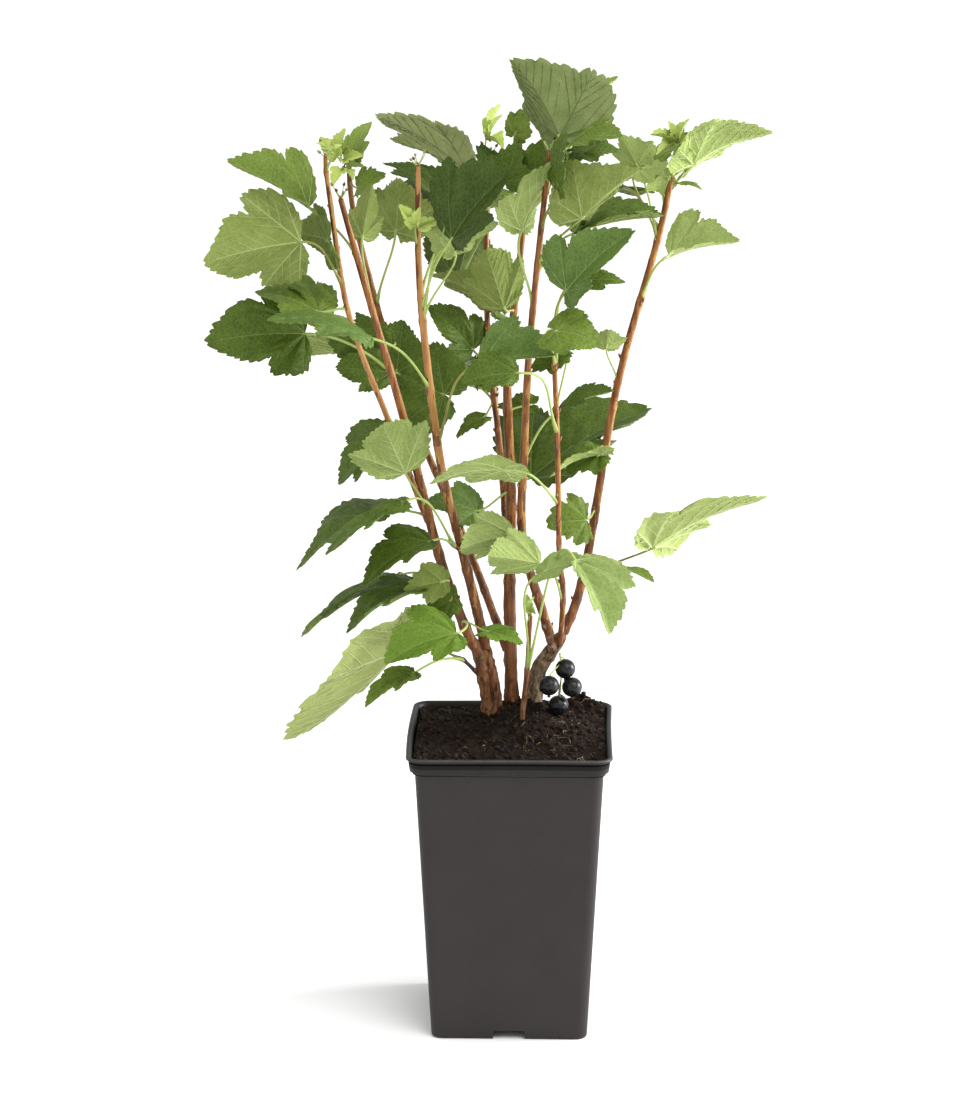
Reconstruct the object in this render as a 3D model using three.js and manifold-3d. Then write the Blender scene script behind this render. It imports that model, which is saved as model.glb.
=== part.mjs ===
// Potted blackcurrant bush. Millimetres, +Z up, the origin in the middle of the pot's underside.
// +X is the right-hand side of the photo and +Y points away from its camera.
import * as THREE from "three";
import Module from "manifold-3d";

// Pot
const POT_HEIGHT = 222;
const LIP_WIDTH = 150;
const LIP_THICK = 2.7;
const BAND_WIDTH = 147;
const BAND_HEIGHT = 10.3;
const BODY_TOP_WIDTH = 137.3;
const BODY_BASE_WIDTH = 115.5;
const RIM_CORNER = 12;
const BODY_CORNER = 8;
const WALL = 1.6;
const FLOOR = 10;
const NOTCH_WIDTH = 24;
const NOTCH_HEIGHT = 7;
const NOTCH_REACH = 26;

// Soil
const SOIL_EDGE = 216.5;
const MOUND_RISE = 20;
const MOUND_REACH = 40;
const MOUND_X = 8;
const MOUND_Y = 14;
const GROUND = 222; // the stems' feet are cut flat at this height

// Plant
const GAP = 0.3; // kept between any two solids
const BERRY = 7.25;
const LEAF_THICK = 0.9;
const STALK = 0.85;
const LEAF_CLEAR = 6.5; // least distance between a leaf of the hidden side and anything before it
const SEED = 2219;

// The photo was taken from here. A point given as [x, z, depth] is where it is seen against the
// plane through the middle of the pot, and its real place lies on that line of sight.
const EYE = new THREE.Vector3(51, -2707, 1068);

// Stems from the ground up. Each point is [x, z, depth]. Where cut is given, the bare bough ends
// at that height and the stem goes on inside its mass of leaves.
const canes = {
  left: {
    points: [
      [-24, 279, 11], [-35, 303, 10], [-53, 357, 3], [-78, 456, -6], [-101, 540, -15], [-122, 617, -25],
    ],
    thick: [4.3, 2.1],
    cut: 370,
  },
  left_side: {
    points: [[-61, 380, 0], [-89, 456, -12], [-118, 536, -28], [-130, 620, -42], [-133, 647, -46]],
    thick: [2.5, 1.6],
  },
  left_back: {
    points: [[-3, 283, 22], [-28, 352, 36], [-75, 468, 52], [-110, 591, 66], [-116, 646, 72]],
    thick: [3.4, 1.8],
    cut: 440,
  },
  left_inner: {
    points: [
      [-17, 278, 18], [-22, 300, 15], [-37, 363, -2], [-52, 430, -16], [-66, 552, -38], [-67, 641, -50],
    ],
    thick: [4.2, 2],
    cut: 425,
  },
  middle: {
    points: [
      [1, 229, 23], [0, 249, 23], [-1, 320, 22], [0, 391, 26], [-3, 483, 30], [3, 548, 32], [12, 638, 32],
    ],
    thick: [6, 2],
    cut: 340,
  },
  middle_back: {
    points: [[-1, 321, 22], [-8, 433, 52], [-18, 534, 74], [-16, 647, 90]],
    thick: [3, 1.8],
    cut: 440,
  },
  right_inner: {
    points: [[31, 284, 17], [25, 305, 11], [9, 366, -5], [9, 430, -18], [13, 510, -34], [27, 652, -60]],
    thick: [4, 1.9],
    cut: 350,
  },
  right_front: {
    points: [[36, 288, 13], [38, 329, -3], [35, 361, -14], [33, 442, -34], [31, 506, -50]],
    thick: [2.3, 1.9],
  },
  right: {
    points: [[38, 296, 18], [53, 340, 22], [75, 475, 34], [105, 593, 44], [118, 658, 50]],
    thick: [4, 2],
    cut: 324,
  },
  stub: {
    points: [[8, 221, -5], [9, 235, -5], [12, 269, -7], [14, 309, -10]],
    thick: [2.3, 1.8],
  },
  low_upper: {
    points: [[-35, 357, 0], [-40, 361, -8], [-45, 365, -15]],
    thick: [1.9, 1.5],
  },
  low_middle: {
    points: [[-41, 322, 8], [-45, 327, 0], [-48, 331, -7]],
    thick: [1.9, 1.5],
  },
  low_lower: {
    points: [[-35, 302, 11], [-35, 303, 2], [-35, 304, -10]],
    thick: [1.9, 1.5],
  },
  dead_twig: {
    points: [[-17, 255, 14], [-28, 268, 5], [-36, 276, -4]],
    thick: [1.7, 1.4],
  },
};

// Stools: the thick feet that carry the stems, each point with its own radius.
const stools = {
  trunk_left: [
    [-15, 226, 14, 9.4], [-13.6, 240, 15, 8.4], [-14, 254, 15, 7.6], [-16.6, 268, 14.6, 7.2],
    [-20, 281, 14.4, 7.2],
  ],
  trunk_right: [
    [16, 229, 24, 7.4], [17, 247, 24, 6.6], [21, 268, 24, 6.4], [27, 279, 21, 6.2], [34, 289, 17, 5.4],
    [37, 294, 16, 4.6],
  ],
};

// Leaves seen in the photo, by the stem they grow on. A row is: height of the root, the blade's
// foot [x, z, depth], the blade's tip [x, z, depth], the turn of the upper side away from the
// camera in degrees (0 shows the upper side, 180 the underside), the width against the length, how
// far each half folds up about the midrib in degrees, the kind of outline, and the arch of a leaf
// that bends the other way.
const leaves = {
  left: [
    [580, [-145, 611, -30], [-202, 645, -46], 66, 1.03, 23, "cleft"],
    [495, [-149, 519, -5], [-216, 514, -16], 20, 1, 16, "cleft"],
    [540, [-107, 589, -5], [-100, 627, 15], 180, 1, 55, "wedge"],
    [388, [-77, 416, -19], [-94, 454, -29], 180, 1.25, 10, "wedge"],
    [384, [-103, 384, 5], [-160, 346, -5], 76, 1, 10, "round"],
  ],
  left_side: [
    [562, [-151, 586, -62], [-223, 570, -74], 160, 1, 27, "cleft"],
    [543, [-139, 535, -32], [-183, 551, -24], 60, 1, 10, "broad"],
    [533, [-136, 536, -5], [-174, 566, 16], 72, 1, 13, "cleft"],
    [572, [-131, 587, -40], [-152, 592, 0], 150, 0.9, 10, "broad"],
    [456, [-87, 447, 10], [-126, 408, 18], 64, 1, 11, "wedge"],
    [644, [-129, 652, -62], [-140, 655, -66], 70, 0.8, 10, "broad"],
    [644, [-128, 651, -58], [-129, 661, -54], 30, 0.8, 20, "broad"],
  ],
  left_back: [
    [644, [-122, 645, 72], [-117, 667, 68], 20, 0.9, 15, "broad"],
    [644, [-114, 641, 74], [-102, 671, 82], 60, 1, 8, "wedge"],
    [640, [-120, 640, 66], [-110, 627, 56], 30, 0.6, 15, "broad"],
    [617, [-110, 625, 60], [-90, 635, 52], 51, 1, 14, "cleft"],
    [529, [-83, 594, 40], [-81, 635, 30], 205, 1, 25, "broad"],
    [504, [-86, 511, 30], [-134, 522, 24], -35, 1, 15, "wedge"],
    [463, [-49, 475, 28], [-85, 487, 46], 10, 1.3, 10, "round"],
    [484, [-83, 491, 38], [-78, 530, 52], 0, 1.1, 10, "round"],
    [470, [-86, 491, 24], [-126, 494, 16], 10, 0.8, 15, "wedge"],
  ],
  left_inner: [
    [552, [-51, 620, -20], [-92, 643, 0], 72, 0.9, 5, "wedge"],
    [484, [-101, 516, -76], [-170, 531, -92], 77, 0.8, -5, "wedge"],
    [588, [-69, 597, -50], [-66, 618, -58], 0, 1, 30, "broad"],
    [544, [-43, 588, -72], [0, 640, -84], 40, 1.05, 30, "wedge"],
    [443, [-23, 497, -53], [28, 506, -60], 42, 1.1, 42, "wedge"],
    [536, [-44, 585, -60], [-66, 599, -52], 150, 0.9, 10, "broad"],
    [536, [-44, 585, -62], [-11, 601, -50], 130, 0.9, 10, "broad"],
  ],
  middle: [
    [530, [-5, 538, 12], [-18, 579, 0], 180, 1, 20, "wedge"],
    [397, [-26, 388, 15], [-61, 396, 5], 40, 0.9, 9, "broad"],
    [637, [2, 664, 30], [13, 683, 25], 20, 0.8, 9, "broad"],
    [624, [-4, 630, 22], [5, 659, 24], 20, 0.9, 9, "broad"],
    [631, [13, 633, 25], [25, 660, 20], 10, 0.9, 9, "broad"],
    [412, [14, 413, 72], [99, 466, 128], 61, 1, 17, "cleft"],
    [456, [15, 468, 42], [-10, 467, 43], 0, 0.55, 10, "broad"],
  ],
  middle_back: [
    [595, [-32, 637, 60], [-95, 677, 48], 108, 1.1, 4, "wedge"],
    [534, [-18, 543, 60], [-59, 563, 45], 112, 1, 14, "round"],
    [476, [-28, 508, 66], [-57, 538, 60], 30, 0.9, 20, "cleft"],
    [581, [-39, 558, 100], [-28, 601, 115], 180, 1.3, 15, "wedge"],
    [458, [-20, 458, 55], [-40, 444, 45], 50, 0.6, 10, "broad"],
    [646, [-18, 661, 88], [0, 674, 80], 50, 0.7, 10, "broad"],
    [639, [-8, 631, 75], [-23, 656, 70], 10, 0.9, 9, "broad"],
  ],
  right_inner: [
    [642, [34, 662, -60], [0, 718, -54], 144, 1.15, 36, "round"],
    [632, [47, 676, -30], [76, 708, -10], 65, 0.8, 10, "broad"],
    [639, [40, 655, -75], [77, 665, -95], 75, 1, 10, "wedge"],
    [606, [33, 628, -75], [38, 665, -80], 70, 0.9, 5, "broad"],
    [628, [45, 652, -45], [75, 653, -40], 50, 0.8, 9, "broad"],
    [579, [50, 604, -72], [88, 638, -84], 137, 1.1, 43, "round"],
    [572, [44, 593, -45], [109, 607, -35], 77, 1, 21, "wedge"],
    [545, [7, 595, -55], [33, 644, -60], 117, 1, 22, "cleft"],
    [358, [2, 370, -22], [-37, 360, -34], 150, 1, 30, "wedge"],
    [430, [33, 462, -6], [73, 480, -16], 77, 0.95, 11, "wedge"],
  ],
  right_front: [
    [400, [-5, 419, -60], [-60, 409, -66], 105, 0.9, 0, "round"],
    [456, [5, 491, -100], [-35, 486, -98], 50, 1, 14, "wedge"],
    [321, [21, 349, -28], [-18, 355, -45], 160, 0.95, 35, "wedge"],
    [506, [39, 551, -75], [82, 594, -86], 35, 1, 35, "cleft"],
    [506, [45, 556, -60], [80, 560, -50], 60, 0.8, 9, "broad"],
    [506, [32, 522, -93], [64, 512, -103], 45, 1.15, 3, "round"],
    [470, [36, 507, -38], [14, 494, -38], 30, 0.9, 10, "broad"],
  ],
  right: [
    [581, [89, 642, 30], [77, 663, 20], 150, 1, 20, "broad"],
    [581, [90, 640, 25], [111, 645, 15], 232, 0.9, 26, "broad"],
    [477, [68, 510, 30], [70, 523, 22], 180, 1.3, 20, "broad"],
    [625, [129, 643, 52], [181, 666, 58], 112, 1, 18, "round"],
    [656, [116, 658, 50], [99, 662, 45], 10, 0.8, 9, "broad"],
    [656, [118, 658, 50], [135, 666, 50], 10, 0.8, 9, "broad"],
    [656, [117, 659, 52], [120, 673, 58], 0, 0.8, 9, "broad"],
    [632, [112, 633, 45], [96, 625, 38], 160, 0.9, 9, "broad"],
    [629, [119, 629, 45], [135, 626, 40], 80, 0.9, 9, "broad"],
    [537, [113, 577, 25], [164, 589, 14], 62, 1, 30, "cleft"],
    [424, [64, 431, -4], [28, 416, -22], 100, 0.9, 0, "broad"],
    [329, [103, 361, 15], [178, 402, 2], 105, 1, 10, "cleft"],
    [383, [55, 382, 12], [25, 379, 3], 10, 1.1, 15, "cleft"],
    [344, [69, 344, 0], [104, 337, -20], 85, 0.9, 9, "broad"],
    [424, [64, 431, 0], [40, 418, -12], 30, 0.8, 5, "broad"],
  ],
  stub: [
    [270, [47, 352, -72], [73, 297, -84], 42, 1, 42, "wedge"],
    [306, [13, 310, -12], [21, 322, -14], 60, 0.8, 9, "broad"],
    [270, [25, 343, -62], [56, 352, -72], 60, 0.8, 10, "round"],
  ],
  low_upper: [
    [365, [-78, 395, -58], [-139, 356, -68], 80, 0.75, 5, "cleft"],
    [365, [-59, 365, -32], [-109, 333, -46], 65, 1, 13, "cleft"],
  ],
  low_middle: [
    [331, [-84, 338, 42], [-151, 300, 56], 84, 0.95, 4, "wedge"],
    [331, [-65, 329, -22], [-123, 295, -34], 76, 1, 10, "cleft"],
    [331, [-50, 335, -34], [-78, 328, -42], 150, 0.9, 10, "broad"],
    [331, [-43, 321, -15], [-66, 307, -10], 30, 0.9, 9, "broad"],
  ],
  low_lower: [
    [304, [-40, 295, -60], [-95, 272, -78], 51, 1, 15, "cleft"],
    [304, [-18, 297, -30], [8, 288, -38], 60, 0.8, 9, "broad"],
  ],
  dead_twig: [
    [276, [-83, 282, 6], [-168, 212, -8], 101, 1, 11, "round", -0.05],
    [276, [-71, 265, -48], [-109, 238, -62], 69, 0.9, 11, "cleft"],
  ],
};

// Leaves tried on the hidden side of each stem: how many, the lowest root and the blade's length.
const hidden = {
  left: { count: 12, low: 430, size: 56 },
  left_back: { count: 34, low: 450, size: 60 },
  middle: { count: 20, low: 400, size: 56 },
  middle_back: { count: 40, low: 445, size: 62 },
  right: { count: 34, low: 350, size: 56 },
  low_middle: { count: 8, low: 331, size: 50 },
};
const HIDDEN_SHARE = 0.7; // of such a leaf must lie behind leaves of the photo
const GOLDEN = 137.5;

// Berries, each [x, z, depth], and the string that they hang on.
const berries = [[40, 269, 14], [28, 256, -1], [45, 255, 10], [35, 241, 13]];
const stringLine = [[36, 281, 16], [37, 266, 10], [36, 247, 11]];

// Which stems make up each mass of leaves.
const masses = {
  leaves_left: ["left", "left_side"],
  leaves_left_back: ["left_back"],
  leaves_left_inner: ["left_inner"],
  leaves_middle: ["middle"],
  leaves_middle_back: ["middle_back"],
  leaves_right_inner: ["right_inner"],
  leaves_right_front: ["right_front"],
  leaves_right: ["right"],
  leaves_low_upper: ["low_upper"],
  leaves_low_middle: ["low_middle"],
  leaves_low_lower: ["low_lower"],
  leaves_dead_twig: ["dead_twig"],
  leaves_stub: ["stub"],
};

// Half an outline of each kind of blade: angle from the midrib in degrees, distance from its foot.
// Blades under SMALL mm long have the young one.
const OUTLINES = {
  broad: [[20, 0.78], [34, 0.66], [54, 0.76], [78, 0.56], [104, 0.44], [144, 0.22]],
  round: [[24, 0.76], [40, 0.68], [54, 0.74], [78, 0.62], [104, 0.52], [146, 0.36]],
  wedge: [[14, 0.92], [24, 0.84], [30, 0.7], [40, 0.84], [54, 0.6], [72, 0.36]],
  cleft: [[14, 0.86], [30, 0.74], [37, 0.53], [51, 0.68], [68, 0.58], [82, 0.5]],
  young: [[44, 0.8], [92, 0.56], [150, 0.3]],
};
const SMALL = 32;

const wasm = await Module();
wasm.setup();
const { Manifold } = wasm;

// A small repeatable source of numbers from 0 to 1.
function seeded(seed) {
  let state = seed;
  return () => {
    state = (state * 16807) % 2147483647;
    return state / 2147483647;
  };
}

function seen(x, z, depth) {
  const share = (depth - EYE.y) / -EYE.y;
  return new THREE.Vector3(x, 0, z).sub(EYE).multiplyScalar(share).add(EYE);
}

// Where a point is seen against the plane through the middle of the pot, as [x, z].
function flat(p) {
  const share = -EYE.y / (p.y - EYE.y);
  return [EYE.x + (p.x - EYE.x) * share, EYE.z + (p.z - EYE.z) * share];
}

function within([x, z], outline) {
  let inside = false;
  outline.forEach(([ax, az], i) => {
    const [bx, bz] = outline[(i + 1) % outline.length];
    if (az > z !== bz > z && x < ax + ((bx - ax) * (z - az)) / (bz - az)) inside = !inside;
  });
  return inside;
}

// A smooth line through points, run from 0 to 1.
function lineThrough(points) {
  const last = points.length - 1;
  return (t) => {
    const i = Math.min(Math.floor(t * last), last - 1);
    const s = t * last - i;
    const a = points[Math.max(i - 1, 0)];
    const b = points[i];
    const c = points[i + 1];
    const d = points[Math.min(i + 2, last)];
    const p = new THREE.Vector3();
    for (const k of ["x", "y", "z"]) {
      const slopeB = (c[k] - a[k]) / 2;
      const slopeC = (d[k] - b[k]) / 2;
      const fall = b[k] - c[k];
      p[k] = ((2 * fall + slopeB + slopeC) * s - 3 * fall - 2 * slopeB - slopeC) * s * s + slopeB * s + b[k];
    }
    return p;
  };
}

function heightToShare(line, height) {
  let low = 0;
  let high = 1;
  for (let i = 0; i < 30; i++) {
    const mid = (low + high) / 2;
    if (line(mid).z < height) low = mid;
    else high = mid;
  }
  return (low + high) / 2;
}

function shape(vertices, triangles) {
  const g = new THREE.BufferGeometry();
  g.setAttribute("position", new THREE.Float32BufferAttribute(vertices.flatMap((v) => [v.x, v.y, v.z]), 3));
  g.setIndex(triangles.flat());
  return g;
}

function solid(geometry) {
  const mesh = new wasm.Mesh({
    numProp: 3,
    vertProperties: new Float32Array(geometry.attributes.position.array),
    triVerts: new Uint32Array(geometry.index.array),
  });
  return new Manifold(mesh);
}

// A closed body through rings of equally many points, capped flat at both ends.
function loft(rings) {
  const n = rings[0].length;
  const vertices = rings.flat();
  const triangles = [];
  for (let r = 0; r + 1 < rings.length; r++) {
    for (let i = 0; i < n; i++) {
      const a = r * n + i;
      const b = r * n + ((i + 1) % n);
      triangles.push([a, b, b + n], [a, b + n, a + n]);
    }
  }
  const middle = (ring) => ring.reduce((sum, p) => sum.add(p), new THREE.Vector3()).divideScalar(n);
  const foot = vertices.push(middle(rings[0])) - 1;
  const head = vertices.push(middle(rings[rings.length - 1])) - 1;
  const top = (rings.length - 1) * n;
  for (let i = 0; i < n; i++) {
    const j = (i + 1) % n;
    triangles.push([foot, j, i], [head, top + i, top + j]);
  }
  return shape(vertices, triangles);
}

// A round tapering body along points, each with its own radius.
function tube(points, radii, sides) {
  const rings = [];
  let across = null;
  points.forEach((p, i) => {
    const next = points[Math.min(i + 1, points.length - 1)];
    const along = next.clone().sub(points[Math.max(i - 1, 0)]).normalize();
    if (!across) {
      across = new THREE.Vector3(1, 0, 0);
      if (Math.abs(along.x) > 0.8) across.set(0, 1, 0);
    }
    across = across.clone().sub(along.clone().multiplyScalar(across.dot(along))).normalize();
    const other = along.clone().cross(across);
    const ring = [];
    for (let k = 0; k < sides; k++) {
      const a = (2 * Math.PI * k) / sides;
      const corner = p.clone().addScaledVector(across, radii[i] * Math.cos(a));
      ring.push(corner.addScaledVector(other, radii[i] * Math.sin(a)));
    }
    rings.push(ring);
  });
  return loft(rings);
}

// The part of a stem between two shares of its line, made thicker all round by grow.
function limb(cane, from, to, grow, sides = 7) {
  const steps = Math.max(2, Math.round((to - from) * (cane.line(from).distanceTo(cane.line(to)) / 30 + 3)));
  const points = [];
  const radii = [];
  for (let i = 0; i <= steps; i++) {
    const t = from + ((to - from) * i) / steps;
    points.push(cane.line(t));
    radii.push(cane.thick[0] + (cane.thick[1] - cane.thick[0]) * t + grow);
  }
  if (grow) {
    const first = points[0].clone().sub(points[1]).setLength(grow);
    const last = points[steps].clone().sub(points[steps - 1]).setLength(grow);
    points[0].add(first);
    points[steps].add(last);
  }
  return solid(tube(points, radii, sides));
}

// Where the parts of one blade lie: its foot, midrib, width direction and upper side.
function bladeFrame(foot, tip, turn, facing) {
  const along = tip.clone().sub(foot);
  const length = along.length();
  along.normalize();
  const towards = facing.clone().sub(along.clone().multiplyScalar(facing.dot(along))).normalize();
  const side = along.clone().cross(towards);
  if (side.z < 0) side.negate();
  const angle = THREE.MathUtils.degToRad(turn);
  const upper = towards.multiplyScalar(Math.cos(angle)).addScaledVector(side, Math.sin(angle));
  return { foot, along, upper, across: upper.clone().cross(along), length };
}

// A point of the blade: u along the midrib and v across it, in lengths, h above it in mm.
function bladePoint(leaf, u, v, h) {
  const half = v * leaf.length * leaf.wide;
  const fold = THREE.MathUtils.degToRad(leaf.fold);
  const lift = leaf.arch * 4 * u * (1 - u) * leaf.length + Math.abs(half) * Math.sin(fold) + h;
  return leaf.foot
    .clone()
    .addScaledVector(leaf.along, u * leaf.length)
    .addScaledVector(leaf.across, half * Math.cos(fold))
    .addScaledVector(leaf.upper, lift);
}

// The blade's outline from its foot round to its foot again, in lengths.
function edgePoints(leaf) {
  const outline = OUTLINES[leaf.length < SMALL ? "young" : leaf.kind];
  const edge = [[0, 0]];
  for (const [angle, reach] of [...outline].reverse()) {
    const a = THREE.MathUtils.degToRad(angle);
    edge.push([reach * Math.cos(a), reach * Math.sin(a)]);
  }
  edge.push([1, 0]);
  for (const [u, v] of edge.slice(1, -1).reverse()) {
    edge.push([u, -v]);
  }
  return edge;
}

function blade(leaf) {
  const edge = edgePoints(leaf);
  const count = edge.length;
  const thick = (i) => (i === 0 ? 2.6 : i === count ? 1.5 : LEAF_THICK) / 2;
  const inner = [...edge, [0.5, 0]];
  const vertices = [];
  for (const way of [1, -1]) {
    inner.forEach(([u, v], i) => vertices.push(bladePoint(leaf, u, v, way * thick(i))));
  }
  const tipIndex = count / 2;
  const turnAt = Math.floor(tipIndex / 2) + (tipIndex > 4 ? 1 : 0);
  const half = [[0, count, turnAt]];
  for (let i = 1; i < tipIndex; i++) {
    half.push([i < turnAt ? 0 : count, i + 1, i]);
  }
  const mirrored = half.map((t) => t.map((i) => (i === 0 || i === count ? i : count - i)).reverse());
  const top = [...half, ...mirrored];
  const bottom = top.map(([a, b, c]) => [c + inner.length, b + inner.length, a + inner.length]);
  const walls = [];
  for (let i = 0; i < count; i++) {
    const j = (i + 1) % count;
    walls.push([i, j, j + inner.length], [i, j + inner.length, i + inner.length]);
  }
  const made = solid(shape(vertices, [...top, ...bottom, ...walls]));
  if (made.volume() > 0) return made;
  return solid(shape(vertices, [...top, ...bottom, ...walls].map((t) => t.slice().reverse())));
}

// The stalk leaves the stem sideways and runs into the blade's foot along the midrib.
function stalkPoints(leaf, steps) {
  const reach = leaf.root.distanceTo(leaf.foot);
  const out = leaf.foot.clone().sub(leaf.root).setLength(reach * 0.35);
  out.z += reach * 0.12;
  const a = leaf.root;
  const b = a.clone().add(out);
  const c = leaf.foot.clone().addScaledVector(leaf.along, -reach * 0.3);
  const d = leaf.foot.clone().addScaledVector(leaf.along, 2.5);
  const points = [];
  for (let i = 0; i <= steps; i++) {
    const t = i / steps;
    const s = 1 - t;
    const p = a.clone().multiplyScalar(s * s * s);
    p.addScaledVector(b, 3 * s * s * t).addScaledVector(c, 3 * s * t * t).addScaledVector(d, t * t * t);
    points.push(p);
  }
  return points;
}

function leafSolids(leaf) {
  const points = stalkPoints(leaf, leaf.length < SMALL ? 2 : 3);
  return [blade(leaf), solid(tube(points, points.map(() => STALK), 3))];
}

// Points spread over a leaf, by which leaves of the hidden side keep clear of all others.
function leafMarks(leaf) {
  const marks = stalkPoints(leaf, 9).slice(3);
  for (const u of [-0.15, 0.08, 0.3, 0.55, 0.8, 1]) {
    const half = u < 0.6 ? 0.6 : (1 - u) * 0.9;
    for (const v of [-1, -0.5, 0, 0.5, 1]) {
      marks.push(bladePoint(leaf, u, v * half, 0));
    }
  }
  return marks;
}

for (const cane of Object.values(canes)) {
  cane.line = lineThrough(cane.points.map((p) => seen(...p)));
  cane.split = cane.cut ? heightToShare(cane.line, cane.cut) : 0;
}

// Every leaf of the photo, then the leaves of the hidden side that have room.
const random = seeded(SEED);
const grown = [];
const marks = [];
for (const [name, rows] of Object.entries(leaves)) {
  for (const [height, foot, tip, turn, wide, fold, kind, bend] of rows) {
    const cane = canes[name];
    const middle = seen(...foot);
    const facing = EYE.clone().sub(middle);
    const leaf = bladeFrame(middle, seen(...tip), turn, facing);
    leaf.root = cane.line(Math.min(heightToShare(cane.line, height), 0.985));
    const arch = 0.03 + 0.06 * random();
    Object.assign(leaf, { wide, fold, kind, arch: bend ?? arch, cane: name });
    grown.push(leaf);
    marks.push(...leafMarks(leaf));
  }
}
for (const cane of Object.values(canes)) {
  for (let t = 0; t <= 1; t += 0.02) {
    marks.push(cane.line(t));
  }
}
const shades = grown.map((leaf) => edgePoints(leaf).map(([u, v]) => flat(bladePoint(leaf, u, v, 0))));
for (const [name, rule] of Object.entries(hidden)) {
  const cane = canes[name];
  const top = cane.points[cane.points.length - 1][1];
  for (let i = 0; i < rule.count; i++) {
    const height = rule.low + ((top - rule.low - 8) * i) / rule.count;
    const root = cane.line(Math.min(heightToShare(cane.line, height), 0.97));
    const heading = THREE.MathUtils.degToRad(15 + ((i * GOLDEN) % 150));
    const size = rule.size * (0.85 + 0.3 * random());
    const out = new THREE.Vector3(Math.cos(heading), Math.sin(heading), 0);
    const stalk = 22 + 34 * random();
    const foot = root.clone().addScaledVector(out, stalk * 0.85);
    foot.z += stalk * 0.45;
    const tip = foot.clone().addScaledVector(out, size * 0.95);
    tip.z -= size * (0.1 + 0.5 * random());
    const leaf = bladeFrame(foot, tip, 10 + 20 * random(), new THREE.Vector3(0, 0, 1));
    Object.assign(leaf, { root, wide: 0.95, fold: 8, kind: "broad", arch: 0.06, cane: name });
    const own = leafMarks(leaf);
    const behind = own.filter((p) => shades.some((shade) => within(flat(p), shade))).length;
    const clear = (p) => p.distanceTo(root) < 14 || marks.every((q) => p.distanceTo(q) > LEAF_CLEAR);
    const free = own.every(clear);
    if (free && behind > HIDDEN_SHARE * own.length) {
      grown.push(leaf);
      marks.push(...own);
    }
  }
}

// Rings of the square pot: rounded corners and one more point in the middle of each side.
function squareRing(width, corner, z) {
  const ring = [];
  const flat = width / 2 - corner;
  for (let side = 0; side < 4; side++) {
    const start = (side * Math.PI) / 2;
    const cx = flat * (side === 0 || side === 3 ? 1 : -1);
    const cy = flat * (side < 2 ? 1 : -1);
    for (let k = 0; k <= 4; k++) {
      const a = start + (k * Math.PI) / 8;
      ring.push(new THREE.Vector3(cx + corner * Math.cos(a), cy + corner * Math.sin(a), z));
    }
    const a = start + Math.PI / 2;
    ring.push(new THREE.Vector3((Math.cos(a) * width) / 2, (Math.sin(a) * width) / 2, z));
  }
  return ring;
}

const BAND_TOP = POT_HEIGHT - LIP_THICK;
const BAND_FOOT = BAND_TOP - BAND_HEIGHT;
const inside = BODY_TOP_WIDTH - 2 * WALL;
const insideFloor = BODY_BASE_WIDTH - 2 * WALL + 1;
const insideBand = BAND_WIDTH - 6;

function potSolid() {
  const outer = [
    squareRing(BODY_BASE_WIDTH - 3, BODY_CORNER - 1.5, 0),
    squareRing(BODY_BASE_WIDTH, BODY_CORNER, 2),
    squareRing(BODY_TOP_WIDTH, BODY_CORNER, BAND_FOOT + 0.5),
    squareRing(BAND_WIDTH - 2.4, RIM_CORNER - 1, BAND_FOOT + 1.5),
    squareRing(BAND_WIDTH, RIM_CORNER, BAND_TOP - 0.6),
    squareRing(LIP_WIDTH, RIM_CORNER, BAND_TOP + 0.3),
    squareRing(LIP_WIDTH, RIM_CORNER, POT_HEIGHT - 0.8),
    squareRing(LIP_WIDTH - 1.6, RIM_CORNER - 0.8, POT_HEIGHT),
  ];
  const inner = [
    squareRing(insideBand + 2.4, RIM_CORNER - 3, POT_HEIGHT),
    squareRing(insideBand + 1, RIM_CORNER - 3, POT_HEIGHT - 1),
    squareRing(insideBand, RIM_CORNER - 3, BAND_FOOT),
    squareRing(inside, BODY_CORNER - WALL, BAND_FOOT - 4),
    squareRing(insideFloor, BODY_CORNER - WALL, FLOOR),
  ];
  let pot = solid(loft([...outer, ...inner]));
  const low = NOTCH_WIDTH / 2;
  const high = NOTCH_WIDTH / 2 - 0.8;
  const profile = new THREE.Shape([
    new THREE.Vector2(-low, -1),
    new THREE.Vector2(low, -1),
    new THREE.Vector2(high, NOTCH_HEIGHT),
    new THREE.Vector2(-high, NOTCH_HEIGHT),
  ]);
  for (let side = 0; side < 4; side++) {
    const cutter = new THREE.ExtrudeGeometry(profile, { depth: NOTCH_REACH + 2, bevelEnabled: false });
    cutter.rotateX(Math.PI / 2);
    cutter.translate(0, BODY_BASE_WIDTH / 2 + 2, 0);
    cutter.rotateZ((side * Math.PI) / 2);
    pot = pot.subtract(closed(cutter));
  }
  return pot;
}

// A three.js geometry whose faces don't share corners yet, made into a solid.
function closed(geometry) {
  const keys = new Map();
  const vertices = [];
  const flat = geometry.index ? geometry.toNonIndexed() : geometry;
  const at = flat.attributes.position;
  const index = [];
  for (let i = 0; i < at.count; i++) {
    const p = new THREE.Vector3().fromBufferAttribute(at, i);
    const key = [p.x, p.y, p.z].map((c) => Math.round(c * 1000)).join();
    if (!keys.has(key)) keys.set(key, vertices.push(p) - 1);
    index.push(keys.get(key));
  }
  const triangles = [];
  for (let i = 0; i < index.length; i += 3) {
    const [a, b, c] = index.slice(i, i + 3);
    if (a !== b && b !== c && c !== a) triangles.push([a, b, c]);
  }
  return solid(shape(vertices, triangles));
}

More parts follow.
